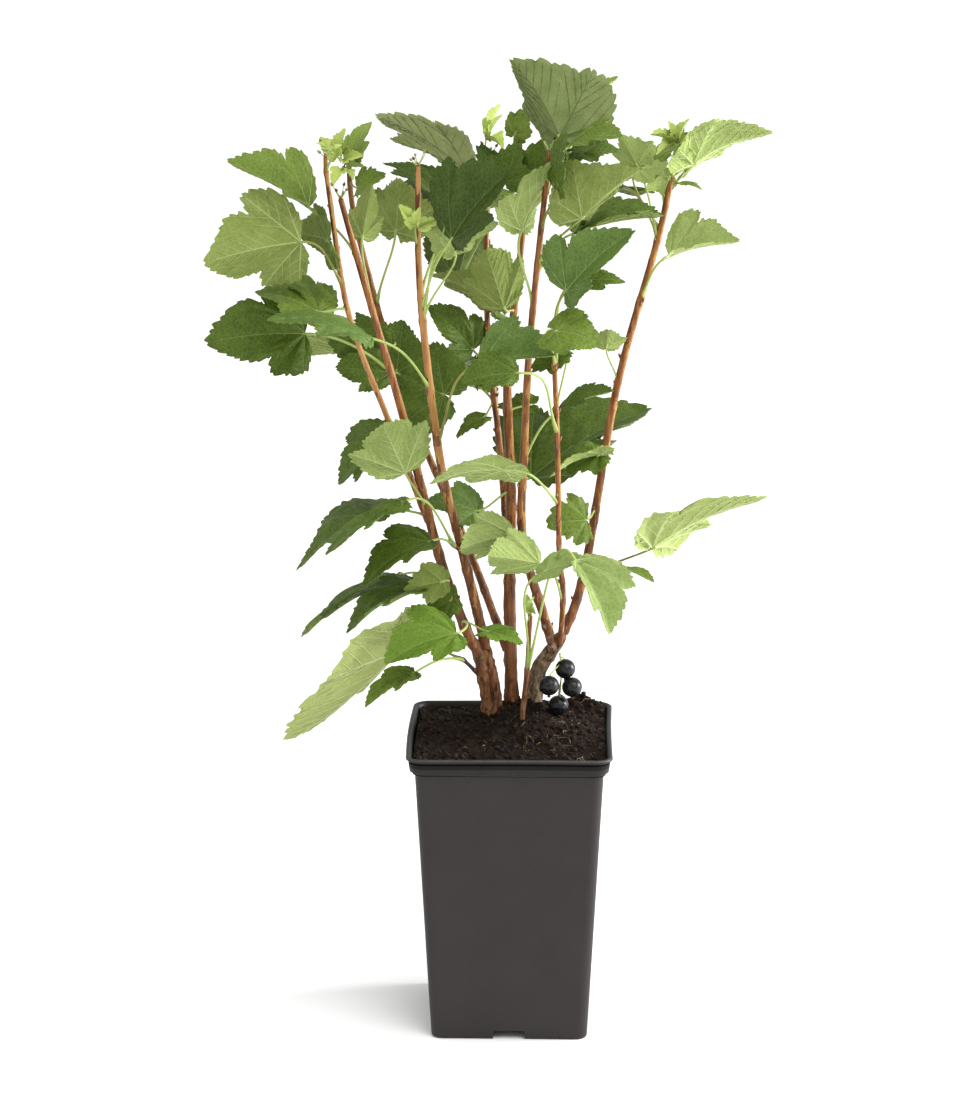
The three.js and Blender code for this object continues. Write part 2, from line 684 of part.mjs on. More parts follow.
function moundHeight(x, y) {
  const away = Math.hypot(x - MOUND_X, y - MOUND_Y) / MOUND_REACH;
  const lumps = 0.8 * Math.sin(x * 0.21 + 1) * Math.cos(y * 0.17) + 0.6 * Math.sin(x * 0.43 - y * 0.31);
  return SOIL_EDGE + MOUND_RISE * Math.exp(-away * away) + lumps;
}

function soilSolid() {
  const slack = 1;
  const rings = [
    squareRing(insideFloor - slack, BODY_CORNER - WALL - 0.3, FLOOR + GAP),
    squareRing(inside - slack, BODY_CORNER - WALL - 0.3, BAND_FOOT - 4),
    squareRing(insideBand - slack, RIM_CORNER - 3.3, BAND_FOOT),
  ];
  const rim = insideBand - slack;
  for (const share of [1, 0.86, 0.68, 0.5, 0.32, 0.14]) {
    const ring = squareRing(rim * share, (RIM_CORNER - 3.3) * share, 0);
    ring.forEach((p) => p.setZ(moundHeight(p.x, p.y)));
    rings.push(ring);
  }
  return solid(loft(rings));
}

function stoolSolid(rows, grow) {
  const points = rows.map(([x, z, depth]) => seen(x, z, depth));
  const radii = rows.map((row) => row[3] + grow);
  if (grow) {
    points[0].add(points[0].clone().sub(points[1]).setLength(grow));
    const last = points.length - 1;
    points[last].add(points[last].clone().sub(points[last - 1]).setLength(grow));
  }
  return solid(tube(points, radii, 9)).trimByPlane([0, 0, 1], GROUND - grow);
}

function berrySolid() {
  const pieces = [];
  const string = lineThrough(stringLine.map((p) => seen(...p)));
  const steps = [0, 0.5, 1];
  pieces.push(solid(tube(steps.map((t) => string(t)), steps.map(() => 0.9), 4)));
  berries.forEach((berry, i) => {
    const centre = seen(...berry);
    const ball = new THREE.SphereGeometry(BERRY, 9, 6);
    ball.translate(centre.x, centre.y, centre.z);
    pieces.push(closed(ball));
    const from = string(0.15 + 0.16 * i);
    const to = centre.clone().add(new THREE.Vector3(0, 0, BERRY * 0.6));
    const bend = from.clone().add(to).multiplyScalar(0.5);
    bend.z += 2;
    pieces.push(solid(tube([from, bend, to], [0.8, 0.8, 0.8], 3)));
  });
  return Manifold.union(pieces);
}

// Stools and bare boughs, and the same bodies grown by the gap that their neighbours keep.
const solids = {};
const kept = [];
for (const [name, rows] of Object.entries(stools)) {
  solids[name] = stoolSolid(rows, 0);
  kept.push(stoolSolid(rows, GAP));
}
const middle = canes.middle;
solids.trunk_middle = limb(middle, 0, middle.split, 0, 8).trimByPlane([0, 0, 1], GROUND);
kept.push(limb(middle, 0, middle.split, GAP, 8));
const boughs = [];
for (const name of ["left", "left_inner", "left_back", "middle_back", "right_inner", "right"]) {
  const cane = canes[name];
  let bough = limb(cane, 0, cane.split, 0);
  for (const other of kept) {
    bough = bough.subtract(other);
  }
  solids["bough_" + name] = largest(bough.simplify(0.1));
  boughs.push(limb(cane, 0, cane.split, GAP));
}
kept.push(...boughs);

function largest(made) {
  const bodies = made.decompose();
  return bodies.reduce((best, body) => (body.volume() > best.volume() ? body : best));
}

for (const [name, stems] of Object.entries(masses)) {
  const pieces = [];
  for (const stem of stems) {
    pieces.push(limb(canes[stem], canes[stem].split, 1, 0, 6));
    for (const leaf of grown.filter((one) => one.cane === stem)) {
      pieces.push(...leafSolids(leaf));
    }
  }
  let mass = Manifold.union(pieces);
  for (const other of kept) {
    mass = mass.subtract(other);
  }
  solids[name] = largest(mass.trimByPlane([0, 0, 1], GROUND).simplify(0.12));
}
let hanging = berrySolid();
for (const other of kept) {
  hanging = hanging.subtract(other);
}
solids.berry_string = largest(hanging);

let soil = soilSolid();
for (const other of [...kept.slice(0, 3), limb(canes.stub, 0, 0.5, GAP, 6)]) {
  soil = soil.subtract(other);
}
solids.soil = soil;
solids.pot = potSolid();

// One named mesh for each solid.
const paints = {
  pot: ["dark_plastic", 0x3c3a38],
  soil: ["peat", 0x2b1e18],
  trunk: ["rough_bark", 0x5a3c2c],
  bough: ["smooth_bark", 0x8a5334],
  leaves: ["leaf", 0x4f7a35],
  berry: ["berry_skin", 0x1d1b22],
};
const plant = new THREE.Group();
for (const [name, made] of Object.entries(solids)) {
  const mesh = made.getMesh();
  const g = new THREE.BufferGeometry();
  const step = mesh.numProp;
  const at = new Float32Array(mesh.numVert * 3);
  for (let i = 0; i < mesh.numVert; i++) {
    at.set(mesh.vertProperties.subarray(i * step, i * step + 3), i * 3);
  }
  g.setAttribute("position", new THREE.BufferAttribute(at, 3));
  g.setIndex(new THREE.BufferAttribute(new Uint32Array(mesh.triVerts), 1));
  const kind = Object.keys(paints).find((key) => name.startsWith(key));
  const material = new THREE.MeshStandardMaterial({ color: paints[kind][1], roughness: 0.7 });
  material.name = paints[kind][0];
  const node = new THREE.Mesh(g, material);
  node.name = name;
  plant.add(node);
}

export default plant;
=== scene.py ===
# Potted blackcurrant bush: its looks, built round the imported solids.
# Sizes are in millimetres, in the frame of the solids, and become metres where a mesh is made.
# +X is the right-hand side of the photo and +Y points away from its camera.
import math
import bpy
import numpy as np
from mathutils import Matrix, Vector


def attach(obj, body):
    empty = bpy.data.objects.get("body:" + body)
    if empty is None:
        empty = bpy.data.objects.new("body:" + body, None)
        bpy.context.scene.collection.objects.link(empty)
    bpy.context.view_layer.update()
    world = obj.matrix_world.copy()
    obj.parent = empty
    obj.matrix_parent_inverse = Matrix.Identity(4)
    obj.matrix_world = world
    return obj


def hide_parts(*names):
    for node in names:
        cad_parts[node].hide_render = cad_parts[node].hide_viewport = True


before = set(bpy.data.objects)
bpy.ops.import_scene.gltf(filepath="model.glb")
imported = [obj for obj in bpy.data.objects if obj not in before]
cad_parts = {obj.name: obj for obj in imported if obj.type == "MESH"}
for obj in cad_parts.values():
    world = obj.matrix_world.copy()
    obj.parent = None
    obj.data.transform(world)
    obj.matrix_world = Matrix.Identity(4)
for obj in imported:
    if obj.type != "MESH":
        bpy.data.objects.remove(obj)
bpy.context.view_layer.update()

MM = 0.001

# Pot
POT_HEIGHT = 222.0
LIP_WIDTH = 150.0
LIP_THICK = 2.7
BAND_WIDTH = 147.0
BAND_HEIGHT = 10.3
BODY_TOP_WIDTH = 137.3
BODY_BASE_WIDTH = 115.5
RIM_CORNER = 12.0
BODY_CORNER = 8.0
WALL = 1.6
FLOOR = 10.0
NOTCH_WIDTH = 24.0
NOTCH_HEIGHT = 7.0
NOTCH_REACH = 26.0
LEFT_BOW = 1.3  # how far the left side of the rim bows outwards
RIGHT_BOW = 0.6  # how far the right side of the rim bows inwards
FRONT_BOW = 0.5  # how far the front of the rim bows outwards

# Soil
SOIL_EDGE = 216.5
MOUND_RISE = 20.0
MOUND_REACH = 40.0
MOUND_X = 8.0
MOUND_Y = 14.0
HEAP_RISE = 9.5  # a small heap of peat at the back right
HEAP_X = 48.0
HEAP_Y = 66.0
HEAP_WIDE = 22.0
HEAP_DEEP = 9.0
CRUMBS = 2300
FIBRES = 100
# Crumbs round the foot of each stool and of the middle cane: x, y, reach and how many.
COLLARS = [[-14, 13, 8.6, 110], [1, 23, 6.2, 60], [16, 24, 7.2, 60]]

# Plant
BERRY = 7.25
BERRY_GROWN = 1.04  # how large a berry is drawn against its solid
LEAF_THICK = 0.34
LEAF_CLEAR = 6.5  # least distance between a leaf of the hidden side and anything before it
SEED = 2219
YOUNG_LEAVES = 3  # in one tuft
EYE = np.array([51.0, -2707.0, 1068.0])  # the photo was taken from here

# Camera
AIM = np.array([-18.4, 0.0, 356.3])
LENS = 124.65
SENSOR = 36.0

# Light
SKY_STRENGTH = 0.84
KEY_STRENGTH = 1.7
FLOOR_SIZE = 24  # in metres

# Stems from the ground up. Each point is [x, z, depth]: where it is seen against the plane through
# the middle of the pot, and its depth behind that plane on the line of sight. Thick is the radius
# at the foot and at the tip.
canes = {
    "left": {
        "points": [
            [-24, 279, 11], [-35, 303, 10], [-53, 357, 3], [-78, 456, -6], [-101, 540, -15],
            [-122, 617, -25],
        ],
        "thick": [4.3, 2.1],
    },
    "left_side": {
        "points": [[-61, 380, 0], [-89, 456, -12], [-118, 536, -28], [-130, 620, -42], [-133, 647, -46]],
        "thick": [2.5, 1.6],
    },
    "left_back": {
        "points": [[-3, 283, 22], [-28, 352, 36], [-75, 468, 52], [-110, 591, 66], [-116, 646, 72]],
        "thick": [3.4, 1.8],
    },
    "left_inner": {
        "points": [
            [-17, 278, 18], [-22, 300, 15], [-37, 363, -2], [-52, 430, -16], [-66, 552, -38],
            [-67, 641, -50],
        ],
        "thick": [4.2, 2],
    },
    "middle": {
        "points": [
            [1, 229, 23], [0, 249, 23], [-1, 320, 22], [0, 391, 26], [-3, 483, 30], [3, 548, 32],
            [12, 638, 32],
        ],
        "thick": [6, 2],
    },
    "middle_back": {
        "points": [[-1, 321, 22], [-8, 433, 52], [-18, 534, 74], [-16, 647, 90]],
        "thick": [3, 1.8],
    },
    "right_inner": {
        "points": [
            [31, 284, 17], [25, 305, 11], [9, 366, -5], [9, 430, -18], [13, 510, -34], [27, 652, -60],
        ],
        "thick": [4, 1.9],
    },
    "right_front": {
        "points": [[36, 288, 13], [38, 329, -3], [35, 361, -14], [33, 442, -34], [31, 506, -50]],
        "thick": [2.3, 1.9],
    },
    "right": {
        "points": [[38, 296, 18], [53, 340, 22], [75, 475, 34], [105, 593, 44], [118, 658, 50]],
        "thick": [4, 2],
    },
    "stub": {
        "points": [[8, 221, -5], [9, 235, -5], [12, 269, -7], [14, 309, -10]],
        "thick": [2.3, 1.8],
    },
    "low_upper": {
        "points": [[-35, 357, 0], [-40, 361, -8], [-45, 365, -15]],
        "thick": [1.9, 1.5],
    },
    "low_middle": {
        "points": [[-41, 322, 8], [-45, 327, 0], [-48, 331, -7]],
        "thick": [1.9, 1.5],
    },
    "low_lower": {
        "points": [[-35, 302, 11], [-35, 303, 2], [-35, 304, -10]],
        "thick": [1.9, 1.5],
    },
    "dead_twig": {
        "points": [[-17, 255, 14], [-28, 268, 5], [-36, 276, -4]],
        "thick": [1.7, 1.4],
    },
}

# Stools: the thick feet that carry the stems, each point with its own radius.
stools = {
    "trunk_left": [
        [-15, 226, 14, 9.4], [-13.6, 240, 15, 8.4], [-14, 254, 15, 7.6], [-16.6, 268, 14.6, 7.2],
        [-20, 281, 14.4, 7.2],
    ],
    "trunk_right": [
        [16, 229, 24, 7.4], [17, 247, 24, 6.6], [21, 268, 24, 6.4], [27, 279, 21, 6.2], [34, 289, 17, 5.4],
        [37, 294, 16, 4.6],
    ],
}

# Leaves seen in the photo, by the stem they grow on. A row is: height of the root, the blade's foot
# [x, z, depth], the blade's tip [x, z, depth], the turn of the upper side away from the camera in
# degrees (0 shows the upper side, 180 the underside), the width against the length, how far each
# half folds up about the midrib in degrees, the kind of outline, the tint, and the arch of a leaf
# that bends the other way.
leaves = {
    "left": [
        [580, [-145, 611, -30], [-202, 645, -46], 66, 1.03, 23, "cleft", "mid"],
        [495, [-149, 519, -5], [-216, 514, -16], 20, 1, 16, "cleft", "deep"],
        [540, [-107, 589, -5], [-100, 627, 15], 180, 1, 55, "wedge", "mid"],
        [388, [-77, 416, -19], [-94, 454, -29], 180, 1.25, 10, "wedge", "light"],
        [384, [-103, 384, 5], [-160, 346, -5], 76, 1, 10, "round", "deep"],
    ],
    "left_side": [
        [562, [-151, 586, -62], [-223, 570, -74], 160, 1, 27, "cleft", "mid"],
        [543, [-139, 535, -32], [-183, 551, -24], 60, 1, 10, "broad", "mid"],
        [533, [-136, 536, -5], [-174, 566, 16], 72, 1, 13, "cleft", "deep"],
        [572, [-131, 587, -40], [-152, 592, 0], 150, 0.9, 10, "broad", "deep"],
        [456, [-87, 447, 10], [-126, 408, 18], 64, 1, 11, "wedge", "deep"],
        [644, [-129, 652, -62], [-140, 655, -66], 70, 0.8, 10, "broad", "young"],
        [644, [-128, 651, -58], [-129, 661, -54], 30, 0.8, 20, "broad", "young"],
    ],
    "left_back": [
        [644, [-122, 645, 72], [-117, 667, 68], 20, 0.9, 15, "broad", "young"],
        [644, [-114, 641, 74], [-102, 671, 82], 60, 1, 8, "wedge", "light"],
        [640, [-120, 640, 66], [-110, 627, 56], 30, 0.6, 15, "broad", "young"],
        [617, [-110, 625, 60], [-90, 635, 52], 51, 1, 14, "cleft", "mid"],
        [529, [-83, 594, 40], [-81, 635, 30], 205, 1, 25, "broad", "mid"],
        [504, [-86, 511, 30], [-134, 522, 24], -35, 1, 15, "wedge", "deep"],
        [463, [-49, 475, 28], [-85, 487, 46], 10, 1.3, 10, "round", "deep"],
        [484, [-83, 491, 38], [-78, 530, 52], 0, 1.1, 10, "round", "deep"],
        [470, [-86, 491, 24], [-126, 494, 16], 10, 0.8, 15, "wedge", "deep"],
    ],
    "left_inner": [
        [552, [-51, 620, -20], [-92, 643, 0], 72, 0.9, 5, "wedge", "dark"],
        [484, [-101, 516, -76], [-170, 531, -92], 77, 0.8, -5, "wedge", "blue"],
        [588, [-69, 597, -50], [-66, 618, -58], 0, 1, 30, "broad", "young"],
        [544, [-43, 588, -72], [0, 640, -84], 40, 1.05, 30, "wedge", "dark"],
        [443, [-23, 497, -53], [28, 506, -60], 42, 1.1, 42, "wedge", "blue"],
        [536, [-44, 585, -60], [-66, 599, -52], 150, 0.9, 10, "broad", "light"],
        [536, [-44, 585, -62], [-11, 601, -50], 130, 0.9, 10, "broad", "light"],
    ],
    "middle": [
        [530, [-5, 538, 12], [-18, 579, 0], 180, 1, 20, "wedge", "mid"],
        [397, [-26, 388, 15], [-61, 396, 5], 40, 0.9, 9, "broad", "blue"],
        [637, [2, 664, 30], [13, 683, 25], 20, 0.8, 9, "broad", "mid"],
        [624, [-4, 630, 22], [5, 659, 24], 20, 0.9, 9, "broad", "deep"],
        [631, [13, 633, 25], [25, 660, 20], 10, 0.9, 9, "broad", "deep"],
        [412, [14, 413, 72], [99, 466, 128], 61, 1, 17, "cleft", "deep"],
        [456, [15, 468, 42], [-10, 467, 43], 0, 0.55, 10, "broad", "deep"],
    ],
    "middle_back": [
        # This overhanging leaf takes the painted-lit copy of the grey tint.
        [595, [-32, 637, 60], [-95, 677, 48], 108, 1.1, 4, "wedge", "silver"],
        [534, [-18, 543, 60], [-59, 563, 45], 112, 1, 14, "round", "mid"],
        [476, [-28, 508, 66], [-57, 538, 60], 30, 0.9, 20, "cleft", "deep"],
        [581, [-39, 558, 100], [-28, 601, 115], 180, 1.3, 15, "wedge", "dark"],
        [458, [-20, 458, 55], [-40, 444, 45], 50, 0.6, 10, "broad", "mid"],
        [646, [-18, 661, 88], [0, 674, 80], 50, 0.7, 10, "broad", "young"],
        [639, [-8, 631, 75], [-23, 656, 70], 10, 0.9, 9, "broad", "dark"],
    ],
    "right_inner": [
        [642, [34, 662, -60], [0, 718, -54], 144, 1.15, 36, "round", "grey"],
        [632, [47, 676, -30], [76, 708, -10], 65, 0.8, 10, "broad", "light"],
        [639, [40, 655, -75], [77, 665, -95], 75, 1, 10, "wedge", "mid"],
        [606, [33, 628, -75], [38, 665, -80], 70, 0.9, 5, "broad", "deep"],
        [628, [45, 652, -45], [75, 653, -40], 50, 0.8, 9, "broad", "deep"],
        [579, [50, 604, -72], [88, 638, -84], 137, 1.1, 43, "round", "mid"],
        [572, [44, 593, -45], [109, 607, -35], 77, 1, 21, "wedge", "deep"],
        [545, [7, 595, -55], [33, 644, -60], 117, 1, 22, "cleft", "light"],
        [358, [2, 370, -22], [-37, 360, -34], 150, 1, 30, "wedge", "light"],
        [430, [33, 462, -6], [73, 480, -16], 77, 0.95, 11, "wedge", "deep"],
    ],
    "right_front": [
        [400, [-5, 419, -60], [-60, 409, -66], 105, 0.9, 0, "round", "light"],
        [456, [5, 491, -100], [-35, 486, -98], 50, 1, 14, "wedge", "deep"],
        [321, [21, 349, -28], [-18, 355, -45], 160, 0.95, 35, "wedge", "light"],
        [506, [39, 551, -75], [82, 594, -86], 35, 1, 35, "cleft", "blue"],
        [506, [45, 556, -60], [80, 560, -50], 60, 0.8, 9, "broad", "deep"],
        [506, [32, 522, -93], [64, 512, -103], 45, 1.15, 3, "round", "mid"],
        [470, [36, 507, -38], [14, 494, -38], 30, 0.9, 10, "broad", "deep"],
    ],
    "right": [
        [581, [89, 642, 30], [77, 663, 20], 150, 1, 20, "broad", "light"],
        [581, [90, 640, 25], [111, 645, 15], 232, 0.9, 26, "broad", "light"],
        [477, [68, 510, 30], [70, 523, 22], 180, 1.3, 20, "broad", "light"],
        [625, [129, 643, 52], [181, 666, 58], 112, 1, 18, "round", "light"],
        [656, [116, 658, 50], [99, 662, 45], 10, 0.8, 9, "broad", "young"],
        [656, [118, 658, 50], [135, 666, 50], 10, 0.8, 9, "broad", "young"],
        [656, [117, 659, 52], [120, 673, 58], 0, 0.8, 9, "broad", "light"],
        [632, [112, 633, 45], [96, 625, 38], 160, 0.9, 9, "broad", "light"],
        [629, [119, 629, 45], [135, 626, 40], 80, 0.9, 9, "broad", "mid"],
        [537, [113, 577, 25], [164, 589, 14], 62, 1, 30, "cleft", "bright"],
        [424, [64, 431, -4], [28, 416, -22], 100, 0.9, 0, "broad", "light"],
        [329, [103, 361, 15], [178, 402, 2], 105, 1, 10, "cleft", "pale"],
        [383, [55, 382, 12], [25, 379, 3], 10, 1.1, 15, "cleft", "mid"],
        [344, [69, 344, 0], [104, 337, -20], 85, 0.9, 9, "broad", "mid"],
        [424, [64, 431, 0], [40, 418, -12], 30, 0.8, 5, "broad", "deep"],
    ],
    "stub": [
        [270, [47, 352, -72], [73, 297, -84], 42, 1, 42, "wedge", "pale"],
        [306, [13, 310, -12], [21, 322, -14], 60, 0.8, 9, "broad", "young"],
        [270, [25, 343, -62], [56, 352, -72], 60, 0.8, 10, "round", "pale"],
    ],
    "low_upper": [
        [365, [-78, 395, -58], [-139, 356, -68], 80, 0.75, 5, "cleft", "deep"],
        [365, [-59, 365, -32], [-109, 333, -46], 65, 1, 13, "cleft", "deep"],
    ],
    "low_middle": [
        [331, [-84, 338, 42], [-151, 300, 56], 84, 0.95, 4, "wedge", "deep"],
        [331, [-65, 329, -22], [-123, 295, -34], 76, 1, 10, "cleft", "deep"],
        [331, [-50, 335, -34], [-78, 328, -42], 150, 0.9, 10, "broad", "deep"],
        [331, [-43, 321, -15], [-66, 307, -10], 30, 0.9, 9, "broad", "deep"],
    ],
    "low_lower": [
        [304, [-40, 295, -60], [-95, 272, -78], 51, 1, 15, "cleft", "fresh"],
        [304, [-18, 297, -30], [8, 288, -38], 60, 0.8, 9, "broad", "fresh"],
    ],
    "dead_twig": [
        [276, [-83, 282, 6], [-168, 212, -8], 101, 1, 11, "round", "bright", -0.05],
        [276, [-71, 265, -48], [-109, 238, -62], 69, 0.9, 11, "cleft", "mid"],
    ],
}

# Leaves tried on the hidden side of each stem: how many, the lowest root and the blade's length.
hidden = {
    "left": [12, 430, 56],
    "left_back": [34, 450, 60],
    "middle": [20, 400, 56],
    "middle_back": [40, 445, 62],
    "right": [34, 350, 56],
    "low_middle": [8, 331, 50],
}
HIDDEN_SHARE = 0.7  # how much of such a leaf the leaves in the photo hide at least
HIDDEN_TURNED = (600, 612)  # rooted between these heights they lean the other way, as in the solids
HIDDEN_TINTS = ["mid", "deep", "blue", "mid", "deep", "dark"]
GOLDEN = 137.5  # the turn in degrees from one leaf to the next

# Berries, each [x, z, depth], and the string that they hang on.
berries = [[40, 269, 14], [28, 256, -1], [45, 255, 10], [35, 241, 13]]
string_line = [[36, 281, 16], [37, 266, 10], [36, 247, 11]]

# Which stems make up each mass of leaves.
masses = {
    "leaves_left": ["left", "left_side"],
    "leaves_left_back": ["left_back"],
    "leaves_left_inner": ["left_inner"],
    "leaves_middle": ["middle"],
    "leaves_middle_back": ["middle_back"],
    "leaves_right_inner": ["right_inner"],
    "leaves_right_front": ["right_front"],
    "leaves_right": ["right"],
    "leaves_low_upper": ["low_upper"],
    "leaves_low_middle": ["low_middle"],
    "leaves_low_lower": ["low_lower"],
    "leaves_dead_twig": ["dead_twig"],
    "leaves_stub": ["stub"],
}

# Half an outline of each kind of blade: angle from the midrib in degrees, distance from its foot.
# Blades under SMALL mm long have the young one in the solids.
OUTLINES = {
    "broad": [[20, 0.78], [34, 0.66], [54, 0.76], [78, 0.56], [104, 0.44], [144, 0.22]],
    "round": [[24, 0.76], [40, 0.68], [54, 0.74], [78, 0.62], [104, 0.52], [146, 0.36]],
    "wedge": [[14, 0.92], [24, 0.84], [30, 0.7], [40, 0.84], [54, 0.6], [72, 0.36]],
    "cleft": [[14, 0.86], [30, 0.74], [37, 0.53], [51, 0.68], [68, 0.58], [82, 0.5]],
    "young": [[44, 0.8], [92, 0.56], [150, 0.3]],
}
SMALL = 32


# Numbers

def seeded(seed):
    """A small repeatable source of numbers from 0 to 1, the same as the solids' own."""
    state = seed

    def draw():
        nonlocal state
        state = (state * 16807) % 2147483647
        return state / 2147483647

    return draw


def noise(points, size, seed):
    """Smooth noise from 0 to 1 at points, with lumps of about size mm."""
    q = np.asarray(points, float) / size
    cell = np.floor(q).astype(np.int64)
    f = q - cell
    f = f * f * (3 - 2 * f)
    total = np.zeros(q.shape[:-1])
    for corner in np.ndindex(2, 2, 2):
        c = cell + np.array(corner)
        key = (c[..., 0] * 73856093) ^ (c[..., 1] * 19349663) ^ (c[..., 2] * 83492791) ^ (seed * 2654435761)
        key = (key & 0x7FFFFFFF) * 1103515245 + 12345
        key = ((key >> 7) ^ key) & 0xFFFFFF
        weight = np.ones(q.shape[:-1])
        for axis in range(3):
            weight = weight * (f[..., axis] if corner[axis] else 1 - f[..., axis])
        total += weight * key / 0xFFFFFF
    return total


def seen(x, z, depth):
    """The place at this depth that is seen at x and z against the plane through the middle of the pot."""
    share = (depth - EYE[1]) / -EYE[1]
    return EYE + (np.array([x, 0.0, z]) - EYE) * share


def flat(points):
    """Where points are seen against the plane through the middle of the pot, as [x, z] rows."""
    share = -EYE[1] / (points[:, 1] - EYE[1])
    return np.stack([EYE[0] + (points[:, 0] - EYE[0]) * share, EYE[2] + (points[:, 2] - EYE[2]) * share], 1)


def within(points, outline):
    """Which [x, z] points lie inside the outline."""
    inside = np.zeros(len(points), bool)
    x, z = points[:, 0], points[:, 1]
    for (ax, az), (bx, bz) in zip(outline, np.roll(outline, -1, 0)):
        if az == bz:
            continue
        crossed = ((az > z) != (bz > z)) & (x < ax + (bx - ax) * (z - az) / (bz - az))
        inside ^= crossed
    return inside


def unit(v):
    return v / np.linalg.norm(v)


def heading_of(angle, rise=0.0):
    """A direction on the floor at an angle from +X, with a rise added."""
    return np.array([math.cos(angle), math.sin(angle), rise])


def line_through(points):
    """A smooth line through points, run from 0 to 1."""
    points = np.asarray(points, float)
    last = len(points) - 1

    def at(t):
        i = min(int(math.floor(t * last)), last - 1)
        s = t * last - i
        a, b, c, d = points[max(i - 1, 0)], points[i], points[i + 1], points[min(i + 2, last)]
        slope_b = (c - a) / 2
        slope_c = (d - b) / 2
        fall = b - c
        bend = (2 * fall + slope_b + slope_c) * s - 3 * fall - 2 * slope_b - slope_c
        return bend * s * s + slope_b * s + b

    return at


def points_on(line, shares):
    return np.array([line(t) for t in shares])


def height_to_share(line, height):
    low, high = 0.0, 1.0
    for _ in range(30):
        mid = (low + high) / 2
        if line(mid)[2] < height:
            low = mid
        else:
            high = mid
    return (low + high) / 2


# Meshes

def shown(name, data):
    """A new object in the scene."""
    made = bpy.data.objects.new(name, data)
    bpy.context.scene.collection.objects.link(made)
    return made


def quads(a, b, c, d):
    """Two triangles for each square with the corners a, b, c and d."""
    return np.concatenate([np.stack([a, b, c], 1), np.stack([a, c, d], 1)])


def fan(hub, a, b):
    """A triangle between one point and each pair of points a and b."""
    return np.stack([np.full(len(a), hub), a, b], 1)


def grid_faces(rings, sides, closed=True):
    """Triangles between rings of equally many points that follow each other in one list."""
    i = np.arange(sides if closed else sides - 1)
    j = (i + 1) % sides
    rows = [r * sides for r in range(rings - 1)]
    return np.concatenate([quads(r + i, r + j, r + j + sides, r + i + sides) for r in rows])


def capped_faces(rings, sides):
    """Triangles between rings and over both ends, whose middles are the last two points of the list."""
    i = np.arange(sides)
    j = (i + 1) % sides
    last = (rings - 1) * sides
    ends = [fan(rings * sides, j, i), fan(rings * sides + 1, last + i, last + j)]
    return np.concatenate([grid_faces(rings, sides), *ends])


def circle(sides):
    """The cosines and sines of points spread evenly round a circle."""
    turn = 2 * math.pi * np.arange(sides) / sides
    return np.cos(turn), np.sin(turn)


def column(radius, heights, sides):
    """Places round a straight column, where noise is read for the bark of a bent one."""
    right, ahead = circle(sides)
    spokes = radius[:, None]
    return np.stack(np.broadcast_arrays(right * spokes, ahead * spokes, heights[:, None]), -1)


def sweep(points, radii, sides):
    """A round body along points. Radii has one number, or one for each side, at each point."""
    points = np.asarray(points, float)
    radii = np.asarray(radii, float)
    if radii.ndim == 1:
        radii = np.repeat(radii[:, None], sides, 1)
    along = np.gradient(points, axis=0)
    along /= np.linalg.norm(along, axis=1)[:, None]
    across = np.array([1.0, 0, 0]) if abs(along[0][0]) < 0.8 else np.array([0, 1.0, 0])
    right, ahead = circle(sides)
    rings = []
    for p, a, r in zip(points, along, radii):
        across = unit(across - a * (across @ a))
        other = np.cross(a, across)
        rings.append(p + r[:, None] * (right[:, None] * across + ahead[:, None] * other))
    return np.concatenate([*rings, points[:1], points[-1:]]), capped_faces(len(points), sides)


class Pile:
    """Triangles gathered for one piece, each with the name of its paint."""

    def __init__(self):
        self.points, self.faces, self.paints, self.count = [], [], [], 0

    def add(self, points, faces, paint):
        self.points.append(np.asarray(points, float))
        self.faces.append(np.asarray(faces, np.int64) + self.count)
        self.paints.append(np.broadcast_to(np.asarray(paint, object), (len(faces),)))
        self.count += len(points)

    def tube(self, points, radii, sides, paint):
        self.add(*sweep(points, radii, sides), paint)

    def piece(self, name, slot, nodes=()):
        points = np.concatenate(self.points) * MM
        faces = np.concatenate(self.faces)
        paints = np.concatenate(self.paints)
        mesh = bpy.data.meshes.new(name)
        mesh.vertices.add(len(points))
        mesh.vertices.foreach_set("co", points.astype(np.float32).ravel())
        mesh.loops.add(faces.size)
        mesh.loops.foreach_set("vertex_index", faces.astype(np.int32).ravel())
        mesh.polygons.add(len(faces))
        mesh.polygons.foreach_set("loop_start", np.arange(0, faces.size, 3, dtype=np.int32))
        used = sorted(set(paints))
        for paint in used:
            mesh.materials.append(bpy.data.materials[paint])
        index = {paint: i for i, paint in enumerate(used)}
        mesh.polygons.foreach_set("material_index", np.array([index[p] for p in paints], np.int32))
        mesh.update(calc_edges=True)
        mesh.validate()
        mesh.polygons.foreach_set("use_smooth", np.ones(len(mesh.polygons), bool))
        made = shown(name, mesh)
        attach(made, "root")
        if nodes:
            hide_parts(*nodes)
        return made


# Paints

def from_screen(r, g, b):
    """A colour as a screen shows it, from 0 to 255, as linear numbers and an opacity of 1."""
    out = []
    for c in (r, g, b):
        c /= 255
        out.append(c / 12.92 if c <= 0.04045 else ((c + 0.055) / 1.055) ** 2.4)
    return (*out, 1)


